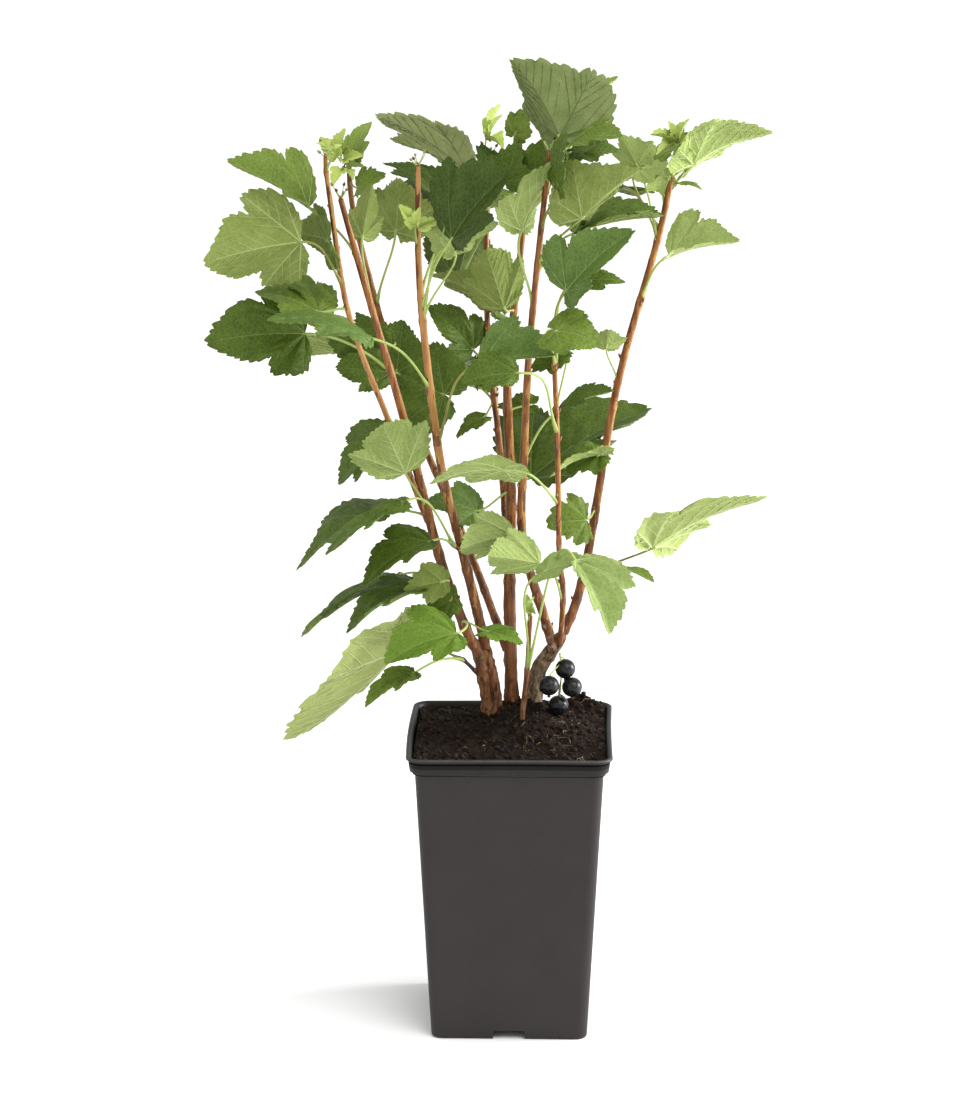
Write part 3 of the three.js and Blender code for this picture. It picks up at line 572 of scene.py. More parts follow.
def paint(name, colour, rough, second=None, size=20, detail=4, stretch=1, bump=0.0, bump_size=2.0,
          rough_second=None, specular=0.5, contrast=0.25, net=None, net_size=3.0):
    """A material: colour mixed with a second one by noise with lumps of size mm, and fine relief.

    Stretch under 1 draws the pattern out upwards. Net is the colour of a fine net of veins, with the
    middles of its meshes raised.
    """
    made = bpy.data.materials.new(name)
    made.use_nodes = True
    made.diffuse_color = from_screen(*colour)
    tree = made.node_tree

    def fill(node, inputs):
        """Sets each input to a value, or joins it to another node's output."""
        for key, value in inputs.items():
            if isinstance(value, bpy.types.NodeSocket):
                tree.links.new(value, node.inputs[key])
            else:
                node.inputs[key].default_value = value
        return node

    def add(kind, inputs):
        return fill(tree.nodes.new("ShaderNode" + kind), inputs)

    shader = tree.nodes["Principled BSDF"]
    fill(shader, {"Base Color": from_screen(*colour), "Roughness": rough, "Specular IOR Level": specular})
    place = add("TexCoord", {}).outputs["Object"]
    place = add("Mapping", {"Scale": (1, 1, stretch), "Vector": place}).outputs["Vector"]
    if second:
        scale = 1 / (size * MM)
        lumps = add("TexNoise", {"Scale": scale, "Detail": detail, "Vector": place}).outputs["Fac"]
        ramp = add("ValToRGB", {"Fac": lumps})
        for stop, away, shade in zip(ramp.color_ramp.elements, (-contrast, contrast), (colour, second)):
            stop.position = 0.5 + away
            stop.color = from_screen(*shade)
        fill(shader, {"Base Color": ramp.outputs["Color"]})
        if rough_second is not None:
            limits = {"From Min": 0.3, "From Max": 0.7, "To Min": rough, "To Max": rough_second}
            fill(shader, {"Roughness": add("MapRange", {**limits, "Value": lumps}).outputs["Result"]})
    height = None
    if net:
        cells = add("TexVoronoi", {"Scale": 1 / (net_size * MM), "Vector": place})
        cells.feature = "DISTANCE_TO_EDGE"
        height = cells.outputs["Distance"]
        limits = {"From Min": 0.02, "From Max": 0.12, "To Min": 0.24, "To Max": 0}
        line = add("MapRange", {**limits, "Value": height}).outputs["Result"]
        mix = tree.nodes.new("ShaderNodeMix")
        mix.data_type = "RGBA"
        fill(mix, {"Factor": line, "A": ramp.outputs["Color"], "B": from_screen(*net)})
        fill(shader, {"Base Color": mix.outputs["Result"]})
    elif bump:
        scale = 1 / (bump_size * MM)
        height = add("TexNoise", {"Scale": scale, "Detail": 5, "Vector": place}).outputs["Fac"]
    if height is not None:
        relief = add("Bump", {"Strength": 1.0, "Distance": bump * MM, "Height": height})
        fill(shader, {"Normal": relief.outputs["Normal"]})


# Each tint of leaf: the upper side and a second colour in it, the underside and a second, and the
# veins on both sides.
TINTS = {
    "dark": [(46, 62, 16), (62, 80, 26), (84, 98, 50), (98, 112, 62), (96, 116, 60), (120, 134, 84)],
    "deep": [(62, 82, 20), (84, 104, 34), (104, 118, 54), (120, 134, 66), (120, 144, 72), (142, 158, 98)],
    "mid": [(82, 102, 32), (104, 124, 46), (114, 128, 60), (132, 146, 76), (144, 164, 92), (160, 174, 114)],
    "blue": [(78, 102, 42), (98, 122, 56), (116, 132, 80), (132, 148, 94), (134, 158, 96), (158, 172, 124)],
    "fresh": [
        (84, 112, 32), (104, 132, 46), (128, 148, 72), (144, 162, 86), (140, 164, 80), (176, 192, 124),
    ],
    "light": [
        (112, 134, 54), (134, 154, 68), (136, 154, 84), (152, 168, 98), (160, 180, 100), (186, 200, 138),
    ],
    "pale": [
        (124, 144, 78), (142, 160, 94), (146, 162, 90), (160, 174, 102), (174, 190, 124), (190, 202, 146),
    ],
    "bright": [
        (136, 154, 84), (152, 168, 98), (156, 170, 100), (170, 182, 112), (188, 202, 136), (200, 210, 154),
    ],
    # The grey tints have veins darker than their blades: painted shade in the grooves of sunken veins.
    "grey": [(82, 98, 44), (104, 118, 60), (104, 118, 66), (128, 140, 88), (84, 98, 54), (88, 100, 58)],
    # A painted-lit copy of grey, several times lighter, for an overhanging leaf that faces down into shade.
    "silver": [
        (150, 160, 104), (168, 178, 122), (154, 164, 108), (174, 182, 126), (118, 128, 86), (118, 128, 86),
    ],
    "young": [
        (170, 188, 92), (194, 208, 120), (168, 186, 100), (188, 202, 122), (190, 206, 126), (200, 212, 140),
    ],
}
for tint, (upper, upper_too, lower, lower_too, upper_vein, lower_vein) in TINTS.items():
    paint("leaf_upper_" + tint, upper, 0.5, upper_too, size=15, detail=6, bump=0.6, specular=0.15,
          net=upper_vein, net_size=3.2)
    paint("leaf_under_" + tint, lower, 0.7, lower_too, size=12, detail=6, bump=0.5, specular=0.08,
          net=lower_vein, net_size=2.8)
    paint("vein_upper_" + tint, upper_vein, 0.55, specular=0.25)
    paint("vein_under_" + tint, lower_vein, 0.65, specular=0.2)
paint("stalk_green", (144, 166, 80), 0.5, (174, 190, 112), size=14, specular=0.3)
paint("stalk_red", (126, 108, 60), 0.5, (142, 156, 80), size=10, specular=0.3)
paint("bud_green", (140, 160, 72), 0.55, (112, 88, 50), size=4)
paint("bud_brown", (98, 54, 32), 0.55, (140, 92, 58), size=3)
paint("flower_dry", (74, 34, 24), 0.8, (120, 80, 50), size=2)
paint("bark_upper", (100, 54, 21), 0.34, (166, 108, 53), size=2.6, detail=8, stretch=0.08, bump=0.35,
      bump_size=1.2, specular=0.3, contrast=0.2)
# On canes bark_tan is also a painted highlight on faces turned right, and bark_red a painted shade on faces
# turned left.
paint("bark_tan", (138, 92, 42), 0.4, (186, 138, 80), size=3.5, detail=7, stretch=0.1, bump=0.3,
      bump_size=1.2, specular=0.3)
paint("bark_red", (82, 42, 20), 0.4, (120, 70, 36), size=4, detail=6, stretch=0.2, bump=0.3,
      bump_size=1.2, specular=0.3)
paint("bark_lower", (62, 34, 18), 0.5, (144, 90, 50), size=2.2, detail=9, stretch=0.1, bump=0.9,
      bump_size=1.3, specular=0.3, contrast=0.2)
OLD_BARK = {"size": 3, "detail": 10, "bump": 1.8, "bump_size": 1.5, "specular": 0.15, "contrast": 0.16}
paint("bark_stool", (50, 31, 21), 0.8, (150, 106, 72), stretch=0.3, **OLD_BARK)
paint("bark_grey", (70, 54, 42), 0.85, (160, 138, 114), stretch=0.6, **OLD_BARK)
paint("bark_dead", (44, 34, 30), 0.8, (72, 56, 46), size=4, bump=0.5, bump_size=1)
paint("pot_plastic", (35, 31, 30), 0.45, (42, 38, 37), size=34, detail=7, bump=0.12, bump_size=0.8,
      rough_second=0.55, specular=0.28)
# A painted highlight for the rounded top edge of the lip.
paint("pot_edge", (66, 62, 60), 0.45, (46, 42, 41), size=7, detail=3, specular=0.4)
# Painted shade on the band under the lip: darkest just under the lip, less dark at the band's foot.
paint("pot_band", (13, 12, 12), 0.6, (18, 16, 16), size=12, specular=0.16)
paint("pot_band_foot", (27, 24, 23), 0.5, (33, 30, 29), size=12, specular=0.24)
paint("peat_dark", (20, 13, 9), 0.95, (42, 28, 20), size=2.2, detail=8, bump=2.2, bump_size=1.1,
      specular=0.2)
paint("peat_brown", (44, 29, 21), 0.95, (62, 43, 32), size=2, bump=0.8, bump_size=1, specular=0.2)
paint("peat_black", (16, 11, 9), 0.8, (28, 20, 16), size=2, bump=0.8, bump_size=1, specular=0.3)
paint("fibre_pale", (164, 146, 112), 0.8, (116, 98, 70), size=6)
paint("fibre_dark", (72, 56, 42), 0.9, (98, 80, 60), size=5)
paint("berry_skin", (9, 8, 9), 0.16, (40, 38, 40), size=1.6, detail=9, rough_second=0.42, specular=0.3,
      contrast=0.14)
paint("berry_calyx", (66, 50, 38), 0.9, (96, 76, 56), size=1.5)
paint("studio_white", (250, 250, 250), 0.9)


# Leaves: where each one lies

class Leaf:
    """One blade: its foot, midrib, width direction and upper side, and how it bends."""

    def __init__(self, foot, tip, turn, facing, wide, fold, kind, arch, cane, root, tint):
        along = tip - foot
        self.length = float(np.linalg.norm(along))
        self.along = along / self.length
        towards = unit(facing - self.along * (facing @ self.along))
        side = np.cross(self.along, towards)
        if side[2] < -1e-9:
            side = -side
        angle = math.radians(turn)
        self.upper = towards * math.cos(angle) + side * math.sin(angle)
        self.across = np.cross(self.upper, self.along)
        self.foot, self.wide, self.fold, self.arch = foot, wide, math.radians(fold), arch
        self.cane, self.root, self.kind, self.tint = cane, root, kind, tint

    def plain(self, u, v):
        """Points of the blade as the solids have it, from shares of its length."""
        u, v = np.asarray(u, float), np.asarray(v, float)
        return self.lay(u, v, self.arch * 4 * u * (1 - u) * self.length, 0)

    def lay(self, u, v, lift, soft):
        """Points of the folded blade, lifted from it by lift. Soft rounds the fold at the midrib."""
        half = v * self.length * self.wide
        raised = (np.sqrt(half * half + soft * soft) - soft) * math.sin(self.fold)
        return (
            self.foot
            + self.along * (u * self.length)[:, None]
            + self.across * (half * math.cos(self.fold))[:, None]
            + self.upper * (lift + raised)[:, None]
        )

    def stalk(self, steps):
        """The stalk leaves the stem sideways and runs into the blade's foot along the midrib."""
        reach = np.linalg.norm(self.foot - self.root)
        out = unit(self.foot - self.root) * reach * 0.35
        out = out + np.array([0, 0, reach * 0.12])
        a, b = self.root, self.root + out
        c = self.foot - self.along * reach * 0.3
        d = self.foot + self.along * 2.5
        t = np.linspace(0, 1, steps + 1)[:, None]
        s = 1 - t
        return a * s**3 + b * 3 * s * s * t + c * 3 * s * t * t + d * t**3

    def marks(self):
        """Points spread over the leaf, by which leaves of the hidden side keep clear of others."""
        us, vs = [], []
        for u in (-0.15, 0.08, 0.3, 0.55, 0.8, 1):
            half = 0.6 if u < 0.6 else (1 - u) * 0.9
            for v in (-1, -0.5, 0, 0.5, 1):
                us.append(u)
                vs.append(v * half)
        return np.concatenate([self.stalk(9)[3:], self.plain(us, vs)])

    def shade(self):
        """The blade's outline as the camera sees it."""
        rows = OUTLINES[self.kind if self.length >= SMALL else "young"]
        half = [polar(angle, reach) for angle, reach in reversed(rows)]
        edge = np.array([[0, 0], *half, [1, 0], *[[u, -v] for u, v in reversed(half)]], float)
        return flat(self.plain(edge[:, 0], edge[:, 1]))


def polar(angle, reach):
    """The place in shares of a blade's length at an angle from its midrib in degrees."""
    a = math.radians(angle)
    return np.array([math.cos(a), math.sin(a)]) * reach


for cane in canes.values():
    cane["line"] = line_through([seen(*p) for p in cane["points"]])

random = seeded(SEED)
grown = []
marks = []
for name, rows in leaves.items():
    line = canes[name]["line"]
    for height, foot, tip, turn, wide, fold, kind, tint, *bend in rows:
        middle = seen(*foot)
        arch = 0.03 + 0.06 * random()
        if bend:
            arch = bend[0]
        root = line(min(height_to_share(line, height), 0.985))
        grown.append(Leaf(middle, seen(*tip), turn, EYE - middle, wide, fold, kind, arch, name, root, tint))
        marks.append(grown[-1].marks())
for cane in canes.values():
    t = 0.0
    while t <= 1:
        marks.append(cane["line"](t)[None])
        t += 0.02
marks = np.concatenate(marks)
shades = [leaf.shade() for leaf in grown]
for name, (count, low, size_about) in hidden.items():
    line = canes[name]["line"]
    top = canes[name]["points"][-1][1]
    for i in range(count):
        height = low + ((top - low - 8) * i) / count
        root = line(min(height_to_share(line, height), 0.97))
        out = heading_of(math.radians(15 + ((i * GOLDEN) % 150)))
        size = size_about * (0.85 + 0.3 * random())
        stalk = 22 + 34 * random()
        foot = root + out * stalk * 0.85 + np.array([0, 0, stalk * 0.45])
        tip = foot + out * size * 0.95
        tip[2] -= size * (0.1 + 0.5 * random())
        tint = HIDDEN_TINTS[len(grown) % len(HIDDEN_TINTS)]
        turn = 10 + 20 * random()
        if HIDDEN_TURNED[0] < height < HIDDEN_TURNED[1]:
            turn = -turn
        leaf = Leaf(foot, tip, turn, np.array([0, 0, 1.0]), 0.95, 8, "broad", 0.06, name, root, tint)
        own = leaf.marks()
        covered = np.zeros(len(own), bool)
        for shade in shades:
            covered |= within(flat(own), shade)
        gaps = np.linalg.norm(own[:, None] - marks[None], axis=2).min(1)
        near_root = np.linalg.norm(own - root, axis=1) < 14
        if (near_root | (gaps > LEAF_CLEAR)).all() and covered.sum() > HIDDEN_SHARE * len(own):
            grown.append(leaf)
            marks = np.concatenate([marks, own])


# Leaves: the blade itself

# By kind of blade: the angles of its side lobes, of the notches before them and of the veins below.
SIDE_LOBE = {"broad": 54, "round": 54, "wedge": 40, "cleft": 51}
NOTCH = {"broad": 34, "round": 40, "wedge": 30, "cleft": 37}
LOW_VEINS = {"broad": (104, 144), "round": (104, 146), "wedge": (72,), "cleft": (82,)}
# Where side veins leave the midrib, a side lobe's vein and a lower vein, as shares of its length.
MIDRIB_BRANCHES = [0.17, 0.33, 0.48, 0.62, 0.75, 0.87]
LOBE_BRANCHES = [0.32, 0.52, 0.7, 0.85]
LOW_BRANCHES = [0.42, 0.7]
BRANCH_ANGLE = 40
VEIN_WIDTH = (0.02, 0.0085)  # of a main and a side vein, in shares of the blade's length
VEIN_HEIGHT = (0.34, 0.2)  # the same in mm
VEIN_REACH = 0.026  # further than this from a vein the blade bulges, in shares of its length
# A tooth that points to the tip and one that points to the foot: shares of its width and height.
TOOTH = [(0.3, 0.5), (0.6, 0.85), (0.85, 1.0), (1.0, 0.0)]
TOOTH_BACK = [(0.15, 1.0), (0.4, 0.85), (0.7, 0.5), (1.0, 0.0)]
# Blades of SMALL mm and more, and smaller ones: teeth on each half, rings of points, how much one
# blade's lobes differ from another's, the height of a tooth, and whether they have main veins only.
LARGE_BLADE = {"teeth": 18, "rings": 16, "lobes": 0.045, "tooth": 0.029, "plain": False}
SMALL_BLADE = {"teeth": 8, "rings": 5, "lobes": 0.05, "tooth": 0.07, "plain": True}


def half_outline(kind):
    """Half the blade's edge from foot to tip, closely spaced, and where its teeth point back."""
    rows = [(180, 0.0), *reversed(OUTLINES[kind]), (0, 1.0)]
    controls = [np.zeros(2)] + [polar(angle, reach) for angle, reach in rows[1:]]
    points, backward = [], []
    for k in range(len(controls) - 1):
        p, q = controls[k], controls[k + 1]
        side = np.array([-(q - p)[1], (q - p)[0]])
        if side @ (p + q) < 0:
            side = -side
        bulge = 0.16 if k == 0 else 0.07
        for t in np.arange(0, 1, 0.05):
            points.append(p + (q - p) * t + side * bulge * 4 * t * (1 - t))
            backward.append(rows[k][0] == SIDE_LOBE[kind] and rows[k + 1][0] == NOTCH[kind])
    points.append(controls[-1])
    backward.append(False)
    return np.array(points), np.array(backward)


def radius_at(outline):
    """The distance of the blade's edge from its foot by angle."""
    angle = np.arctan2(outline[:, 1], outline[:, 0])
    order = np.argsort(angle)
    reach = np.hypot(outline[:, 0], outline[:, 1])
    return lambda a: np.interp(np.abs(a), angle[order], reach[order])


def distance_to(points, a, b):
    """From each point to the nearest of the segments a to b."""
    best = np.full(len(points), 9.0)
    for p, q in zip(a, b):
        d = q - p
        t = np.clip((points - p) @ d / max(d @ d, 1e-9), 0, 1)
        best = np.minimum(best, np.linalg.norm(points - p - t[:, None] * d, axis=1))
    return best


def side_vein(start, a, side, reach, lobe):
    """A side vein from start on a main vein at angle a, as far as it stays in its own lobe."""
    out = a + side * math.radians(BRANCH_ANGLE)
    step = np.array([math.cos(out), math.sin(out)])
    clear = 0.0
    for d in np.arange(0.04, 0.5, 0.01):
        p = start + step * d
        bearing = math.atan2(p[1], p[0])
        if abs(bearing - a) >= math.radians(lobe / 2) or np.hypot(*p) > 0.95 * reach(bearing):
            break
        clear = d
    if clear <= 0.05:
        return None
    d = np.linspace(0, clear, 6)
    bend = (d / clear) ** 2 * 0.12 * clear
    return start + np.outer(d, step) + np.outer(bend, [math.cos(a), math.sin(a)])


def vein_lines(kind, reach, plain):
    """Every vein as points in shares of the length, with its rank: 0 main, 1 side."""
    lobe = SIDE_LOBE[kind]
    mains = [(0, MIDRIB_BRANCHES), (lobe, LOBE_BRANCHES), (-lobe, LOBE_BRANCHES)]
    for angle in LOW_VEINS[kind]:
        mains += [(angle, LOW_BRANCHES), (-angle, LOW_BRANCHES)]
    if plain:
        mains = mains[:5]
    lines = []
    for angle, branches in mains:
        a = math.radians(angle)
        way = np.array([math.cos(a), math.sin(a)])
        long = 0.95 * reach(a)
        lines.append((0, np.outer(np.linspace(0, long, 12), way)))
        if plain:
            continue
        for share in branches:
            for side in (1, -1):
                start = way * long * (share + (0.03 if side > 0 else 0))
                vein = side_vein(start, a, side, reach, lobe)
                if vein is not None:
                    lines.append((1, vein))
    return lines


def half_edge(outline, backward, teeth, tooth, draw):
    """Half the edge without and with its teeth, which differ in width and height."""
    step = np.r_[0, np.cumsum(np.linalg.norm(np.diff(outline, axis=0), axis=1))]
    widths = np.array([(0.7 + 0.6 * draw()) * (1.25 if k % 2 else 0.8) for k in range(teeth)])
    ends = 0.03 + 0.97 * np.r_[0, np.cumsum(widths)] / widths.sum()
    share, height = [ends[0]], [0.0]
    for k in range(teeth):
        size = tooth * (0.6 + 0.8 * draw()) * (1.25 if k % 2 else 0.8)
        size *= min(1.0, (k + 0.5) / (0.15 * teeth))
        middle = (ends[k] + ends[k + 1]) / 2
        points = TOOTH
        if np.interp(middle * step[-1], step, backward.astype(float)) > 0.5:
            points = TOOTH_BACK
        for where, high in points:
            share.append(ends[k] + (ends[k + 1] - ends[k]) * where)
            height.append(size * (high - 0.35))
    share, height = np.array(share), np.array(height)
    edge = np.stack([np.interp(share * step[-1], step, outline[:, k]) for k in (0, 1)], 1)
    slope = np.gradient(edge, axis=0)
    normal = np.stack([-slope[:, 1], slope[:, 0]], 1)
    normal *= np.sign((normal * edge).sum(1))[:, None]
    normal /= np.linalg.norm(normal, axis=1)[:, None]
    return edge, edge + normal * height[:, None]


def blade_top(edge, toothed, rings):
    """The points and triangles of a blade's upper side, in rings round its foot out to the teeth."""
    spokes = edge[::2]
    n = len(spokes)
    rows = [spokes * s for s in np.linspace(0, 0.965, rings + 1)[1:]]
    points = np.concatenate([np.zeros((1, 2)), *rows, toothed])
    i = np.arange(n - 1)
    # grid_faces runs outwards here, so its faces are turned over
    grid = 1 + grid_faces(rings, n, closed=False)[:, ::-1]
    inner = 1 + (rings - 1) * n + i
    outer = 1 + rings * n + 2 * i
    faces = [
        fan(0, 1 + i, 2 + i),
        grid,
        np.stack([inner, outer, outer + 1], 1),
        np.stack([inner, outer + 1, inner + 1], 1),
        np.stack([inner + 1, outer + 1, outer + 2], 1),
    ]
    return points, np.concatenate(faces)


def vein_strip(line, rank, side):
    """A raised strip along a vein, on the upper side or, with side -1, the underside of a blade."""
    half = LEAF_THICK / 2
    share = np.linspace(0, 1, len(line))
    wide = VEIN_WIDTH[rank] * (1 - 0.65 * share)
    high = VEIN_HEIGHT[rank] * (1 - 0.5 * share)
    if side == 1:
        wide, high = wide * 0.8, high * 0.55 + 0.1
    way = np.gradient(line, axis=0)
    way /= np.linalg.norm(way, axis=1)[:, None]
    off = np.stack([-way[:, 1], way[:, 0]], 1) * wide[:, None] / 2
    k = len(line)
    level = side * np.r_[np.full(k, half - 0.1), half + high, np.full(k, half - 0.1)]
    j = np.arange(k - 1)
    # On the underside the corners of a face run the other way round, by the step of side.
    lanes = [quads(lane + j, lane + j + 1, lane + k + j + 1, lane + k + j) for lane in (0, k)]
    return np.concatenate([line - off, line, line + off]), level, np.concatenate(lanes)[:, ::side]


def blade_pattern(kind, seed, teeth, rings, lobes, tooth, plain):
    """A blade in shares of its length: every point's place, height and side, and the triangles."""
    draw = seeded(seed)
    outline, backward = half_outline(kind)
    reach = radius_at(outline)
    left = [half * [1, -1] for half in half_edge(outline, backward, teeth, tooth, draw)]
    right = half_edge(outline, backward, teeth, tooth, draw)
    edge, toothed = [np.concatenate([a, b[::-1][1:]]) for a, b in zip(left, right)]
    points, top = blade_top(edge, toothed, rings)
    lines = vein_lines(kind, reach, plain)
    parts = {"uv": [], "h": [], "faces": [], "code": []}
    count = 0

    def put(uv, h, faces, code):
        nonlocal count
        parts["uv"].append(uv)
        parts["h"].append(np.broadcast_to(h, (len(uv),)).astype(float))
        parts["faces"].append(faces + count)
        parts["code"].append(np.full(len(faces), code))
        count += len(uv)

    # The codes stand for the upper side, the underside and the veins on each, as in SIDE_PAINTS.
    half = LEAF_THICK / 2
    put(points, half, top, 0)
    put(points, -half, top[:, ::-1], 1)
    rim = np.concatenate([np.zeros((1, 2)), toothed])
    m = len(rim)
    a = np.arange(m)
    b = (a + 1) % m
    put(np.concatenate([rim, rim]), np.repeat([half, -half], m), quads(a, a + m, b + m, b), 0)
    for side, code in ((1, 2), (-1, 3)):
        for rank, line in lines:
            put(*vein_strip(line, rank, side), code)
    uv = np.concatenate(parts["uv"])
    starts = np.concatenate([line[:-1] for rank, line in lines])
    ends = np.concatenate([line[1:] for rank, line in lines])
    bearing = np.arctan2(uv[:, 1], uv[:, 0])
    warp = 1 + lobes * np.sin(3 * bearing + 1.3 * seed) + 0.6 * lobes * np.sin(5 * bearing + seed)
    mains = np.radians([0, SIDE_LOBE[kind], *LOW_VEINS[kind]])
    ridges = (mains + np.r_[mains[1:], math.pi]) / 2
    ridges[0] = math.radians(NOTCH[kind])
    folds = np.stack([mains, ridges], 1).ravel()
    pleat = np.interp(np.abs(bearing), folds, np.tile([0.0, 1.0], len(mains)))
    return {
        "uv": uv * warp[:, None],
        "h": np.concatenate(parts["h"]),
        "faces": np.concatenate(parts["faces"]),
        "code": np.concatenate(parts["code"]),
        "bulge": 1 - np.exp(-((distance_to(uv, starts, ends) / VEIN_REACH) ** 2)),
        "pleat": pleat * pleat * (3 - 2 * pleat),
        "out": np.clip(np.hypot(uv[:, 0], uv[:, 1]) / np.maximum(reach(bearing), 0.05), 0, 1.1),
        "bearing": bearing,
    }


large_patterns, small_patterns = {}, {}
for order, kind in enumerate(SIDE_LOBE):
    large_patterns[kind] = [blade_pattern(kind, 11 + 7 * k + order, **LARGE_BLADE) for k in range(3)]
    small_patterns[kind] = [blade_pattern(kind, 5 + 9 * k + order, **SMALL_BLADE) for k in range(2)]
SIDE_PAINTS = ["leaf_upper_", "leaf_under_", "vein_upper_", "vein_under_"]


def add_leaf(pile, stalks, leaf, number):
    draw = seeded(977 + 31 * number)
    patterns = small_patterns if leaf.length < SMALL else large_patterns
    pattern = patterns[leaf.kind][number % len(patterns[leaf.kind])]
    u, v = pattern["uv"].T
    scale = leaf.length
    out = pattern["out"]
    height = 0.016 + 0.022 * draw()
    wave = height * np.sin((3 + 2 * (number % 2)) * pattern["bearing"] + 6.3 * draw()) * out**3
    curl = -(0.02 + 0.05 * draw()) * out**3
    arch = leaf.arch * 4 * u * (1 - u)
    quilt = 0.023 * pattern["bulge"] * (0.5 + 0.5 * out) + 0.055 * pattern["pleat"] * np.minimum(out, 1)
    thin = min(1.0, scale / 40)
    lift = (arch + wave + curl + quilt) * scale + pattern["h"] * thin
    names = np.array([side + leaf.tint for side in SIDE_PAINTS], object)
    pile.add(leaf.lay(u, v, lift, 0.04 * scale), pattern["faces"], names[pattern["code"]])
    steps = 14 if scale >= SMALL else 8
    share = np.linspace(0, 1, steps + 1)
    swell = 0.9 + 0.95 * np.exp(-((share / 0.1) ** 2)) + 0.25 * np.exp(-(((1 - share) / 0.06) ** 2))
    colour = "stalk_green" if number % 5 else "stalk_red"
    stalks.tube(leaf.stalk(steps), (0.5 + 0.5 * thin) * swell, 8, colour)


def add_young(pile, stalks, leaf, number):
    """A tuft of small folded leaves within the place of one young blade."""
    draw = seeded(401 + 17 * number)
    for k in range(YOUNG_LEAVES):
        spread = (k - (YOUNG_LEAVES - 1) / 2) * 0.8 + 0.4 * (draw() - 0.5)
        way = leaf.along * math.cos(spread) + leaf.across * math.sin(spread) + leaf.upper * 0.35 * draw()
        foot = leaf.foot + way * leaf.length * 0.15
        tip = foot + unit(way) * leaf.length * (0.7 + 0.3 * draw())
        turn, fold, arch = 10 + 60 * draw(), 25 + 30 * draw(), 0.1 * draw()
        rest = (leaf.cane, leaf.foot, leaf.tint)
        blade = Leaf(foot, tip, turn, leaf.upper, 0.75, fold, "cleft", arch, *rest)
        add_leaf(pile, stalks, blade, 100 * number + k)
    line = leaf.stalk(8)[:-1]
    stalks.tube(line, np.linspace(0.9, 0.55, len(line)), 8, "stalk_green")


for node, stems in masses.items():
    blades, stalks = Pile(), Pile()
    for number, leaf in enumerate(grown):
        if leaf.cane in stems:
            add = add_young if leaf.tint == "young" else add_leaf
            add(blades, stalks, leaf, number)
    short = node.replace("leaves_", "")
    blades.piece("blades_" + short, "leaf", [node])
    stalks.piece("stalks_" + short, "leaf", [node])


# Canes with nodes, buds and bark

# Where canes run on down a stool as ribs, from the ground to the cane's foot.
ribs = {
    "left": [[-17.5, 222, 11], [-18, 242, 10], [-20.5, 262, 9.5]],
    "left_inner": [[-10, 222, 12], [-10.5, 242, 11], [-13.5, 262, 12.5]],
    "right_inner": [[17, 250, 19], [23, 270, 18]],
}
GREY_TOP = {"trunk_left": 226, "trunk_right": 276}  # below this a stool's bark is mostly grey
STOOL_SHARE = {"trunk_left": 0.76, "trunk_right": 0.9}  # how much of its solid a stool's own wood fills
GREEN_TIP = 643  # above this the right-hand cane is this year's green shoot
GREEN_BUDS = 560  # above this every bud is green, and a cane's tip has dried flowers
NODE_GAP = 27  # between nodes that have lost their leaves

canes_pile = Pile()
buds_pile = Pile()


def bud(centre, way, length, wide, colour):
    """A pointed bud that leans along way."""
    share = np.array([0, 0.15, 0.35, 0.6, 0.85, 1.0])
    radius = wide * np.array([0.6, 0.95, 1.0, 0.75, 0.35, 0.05])
    buds_pile.tube(centre + np.outer(share * length, unit(way)), radius, 8, colour)


def cane_paints(name, corners):
    """The paint of each face of a cane by its height, its side (painted light and shade) and noise drawn
    out upwards.
    """
    centre = corners.mean(1)
    height = centre[:, 2]
    plain = "bark_tan" if name in ("left_inner", "left_side") else "bark_upper"
    patch = noise(centre * [1, 1, 0.14], 2.4, 77)
    colours = np.where(patch > 0.22 + (height - 290) / 280, "bark_lower", plain).astype(object)
    # Painted light: faces turned right take more of the lighter bark_tan as a painted highlight, faces
    # turned left more of the darker bark_red as painted shade.
    outwards = np.cross(corners[:, 1] - corners[:, 0], corners[:, 2] - corners[:, 0])
    to_right = outwards[:, 0] / np.maximum(np.linalg.norm(outwards, axis=1), 1e-9)
    streak = noise(centre * [1, 1, 0.1], 2.2, 12)
    smooth = colours == plain
    colours[smooth & (streak > 0.9 - 0.6 * to_right)] = "bark_tan"
    redder = np.clip((height - 560) / 120, 0, 0.4) + np.clip((470 - height) / 500, 0, 0.25)
    colours[smooth & (streak < 0.12 - 0.55 * to_right + redder)] = "bark_red"
    colours[noise(centre * [1, 1, 0.5], 2.2, 31) > 0.36 + (height - 236) / 60] = "bark_stool"
    if name == "right_inner":
        colours[noise(centre, 2.5, 55) > 0.35 + (height - GREY_TOP["trunk_right"]) / 50] = "bark_grey"
    if name == "right":
        colours[height > GREEN_TIP] = "stalk_green"
    if name == "dead_twig":
        colours[:] = "bark_dead"
    return colours


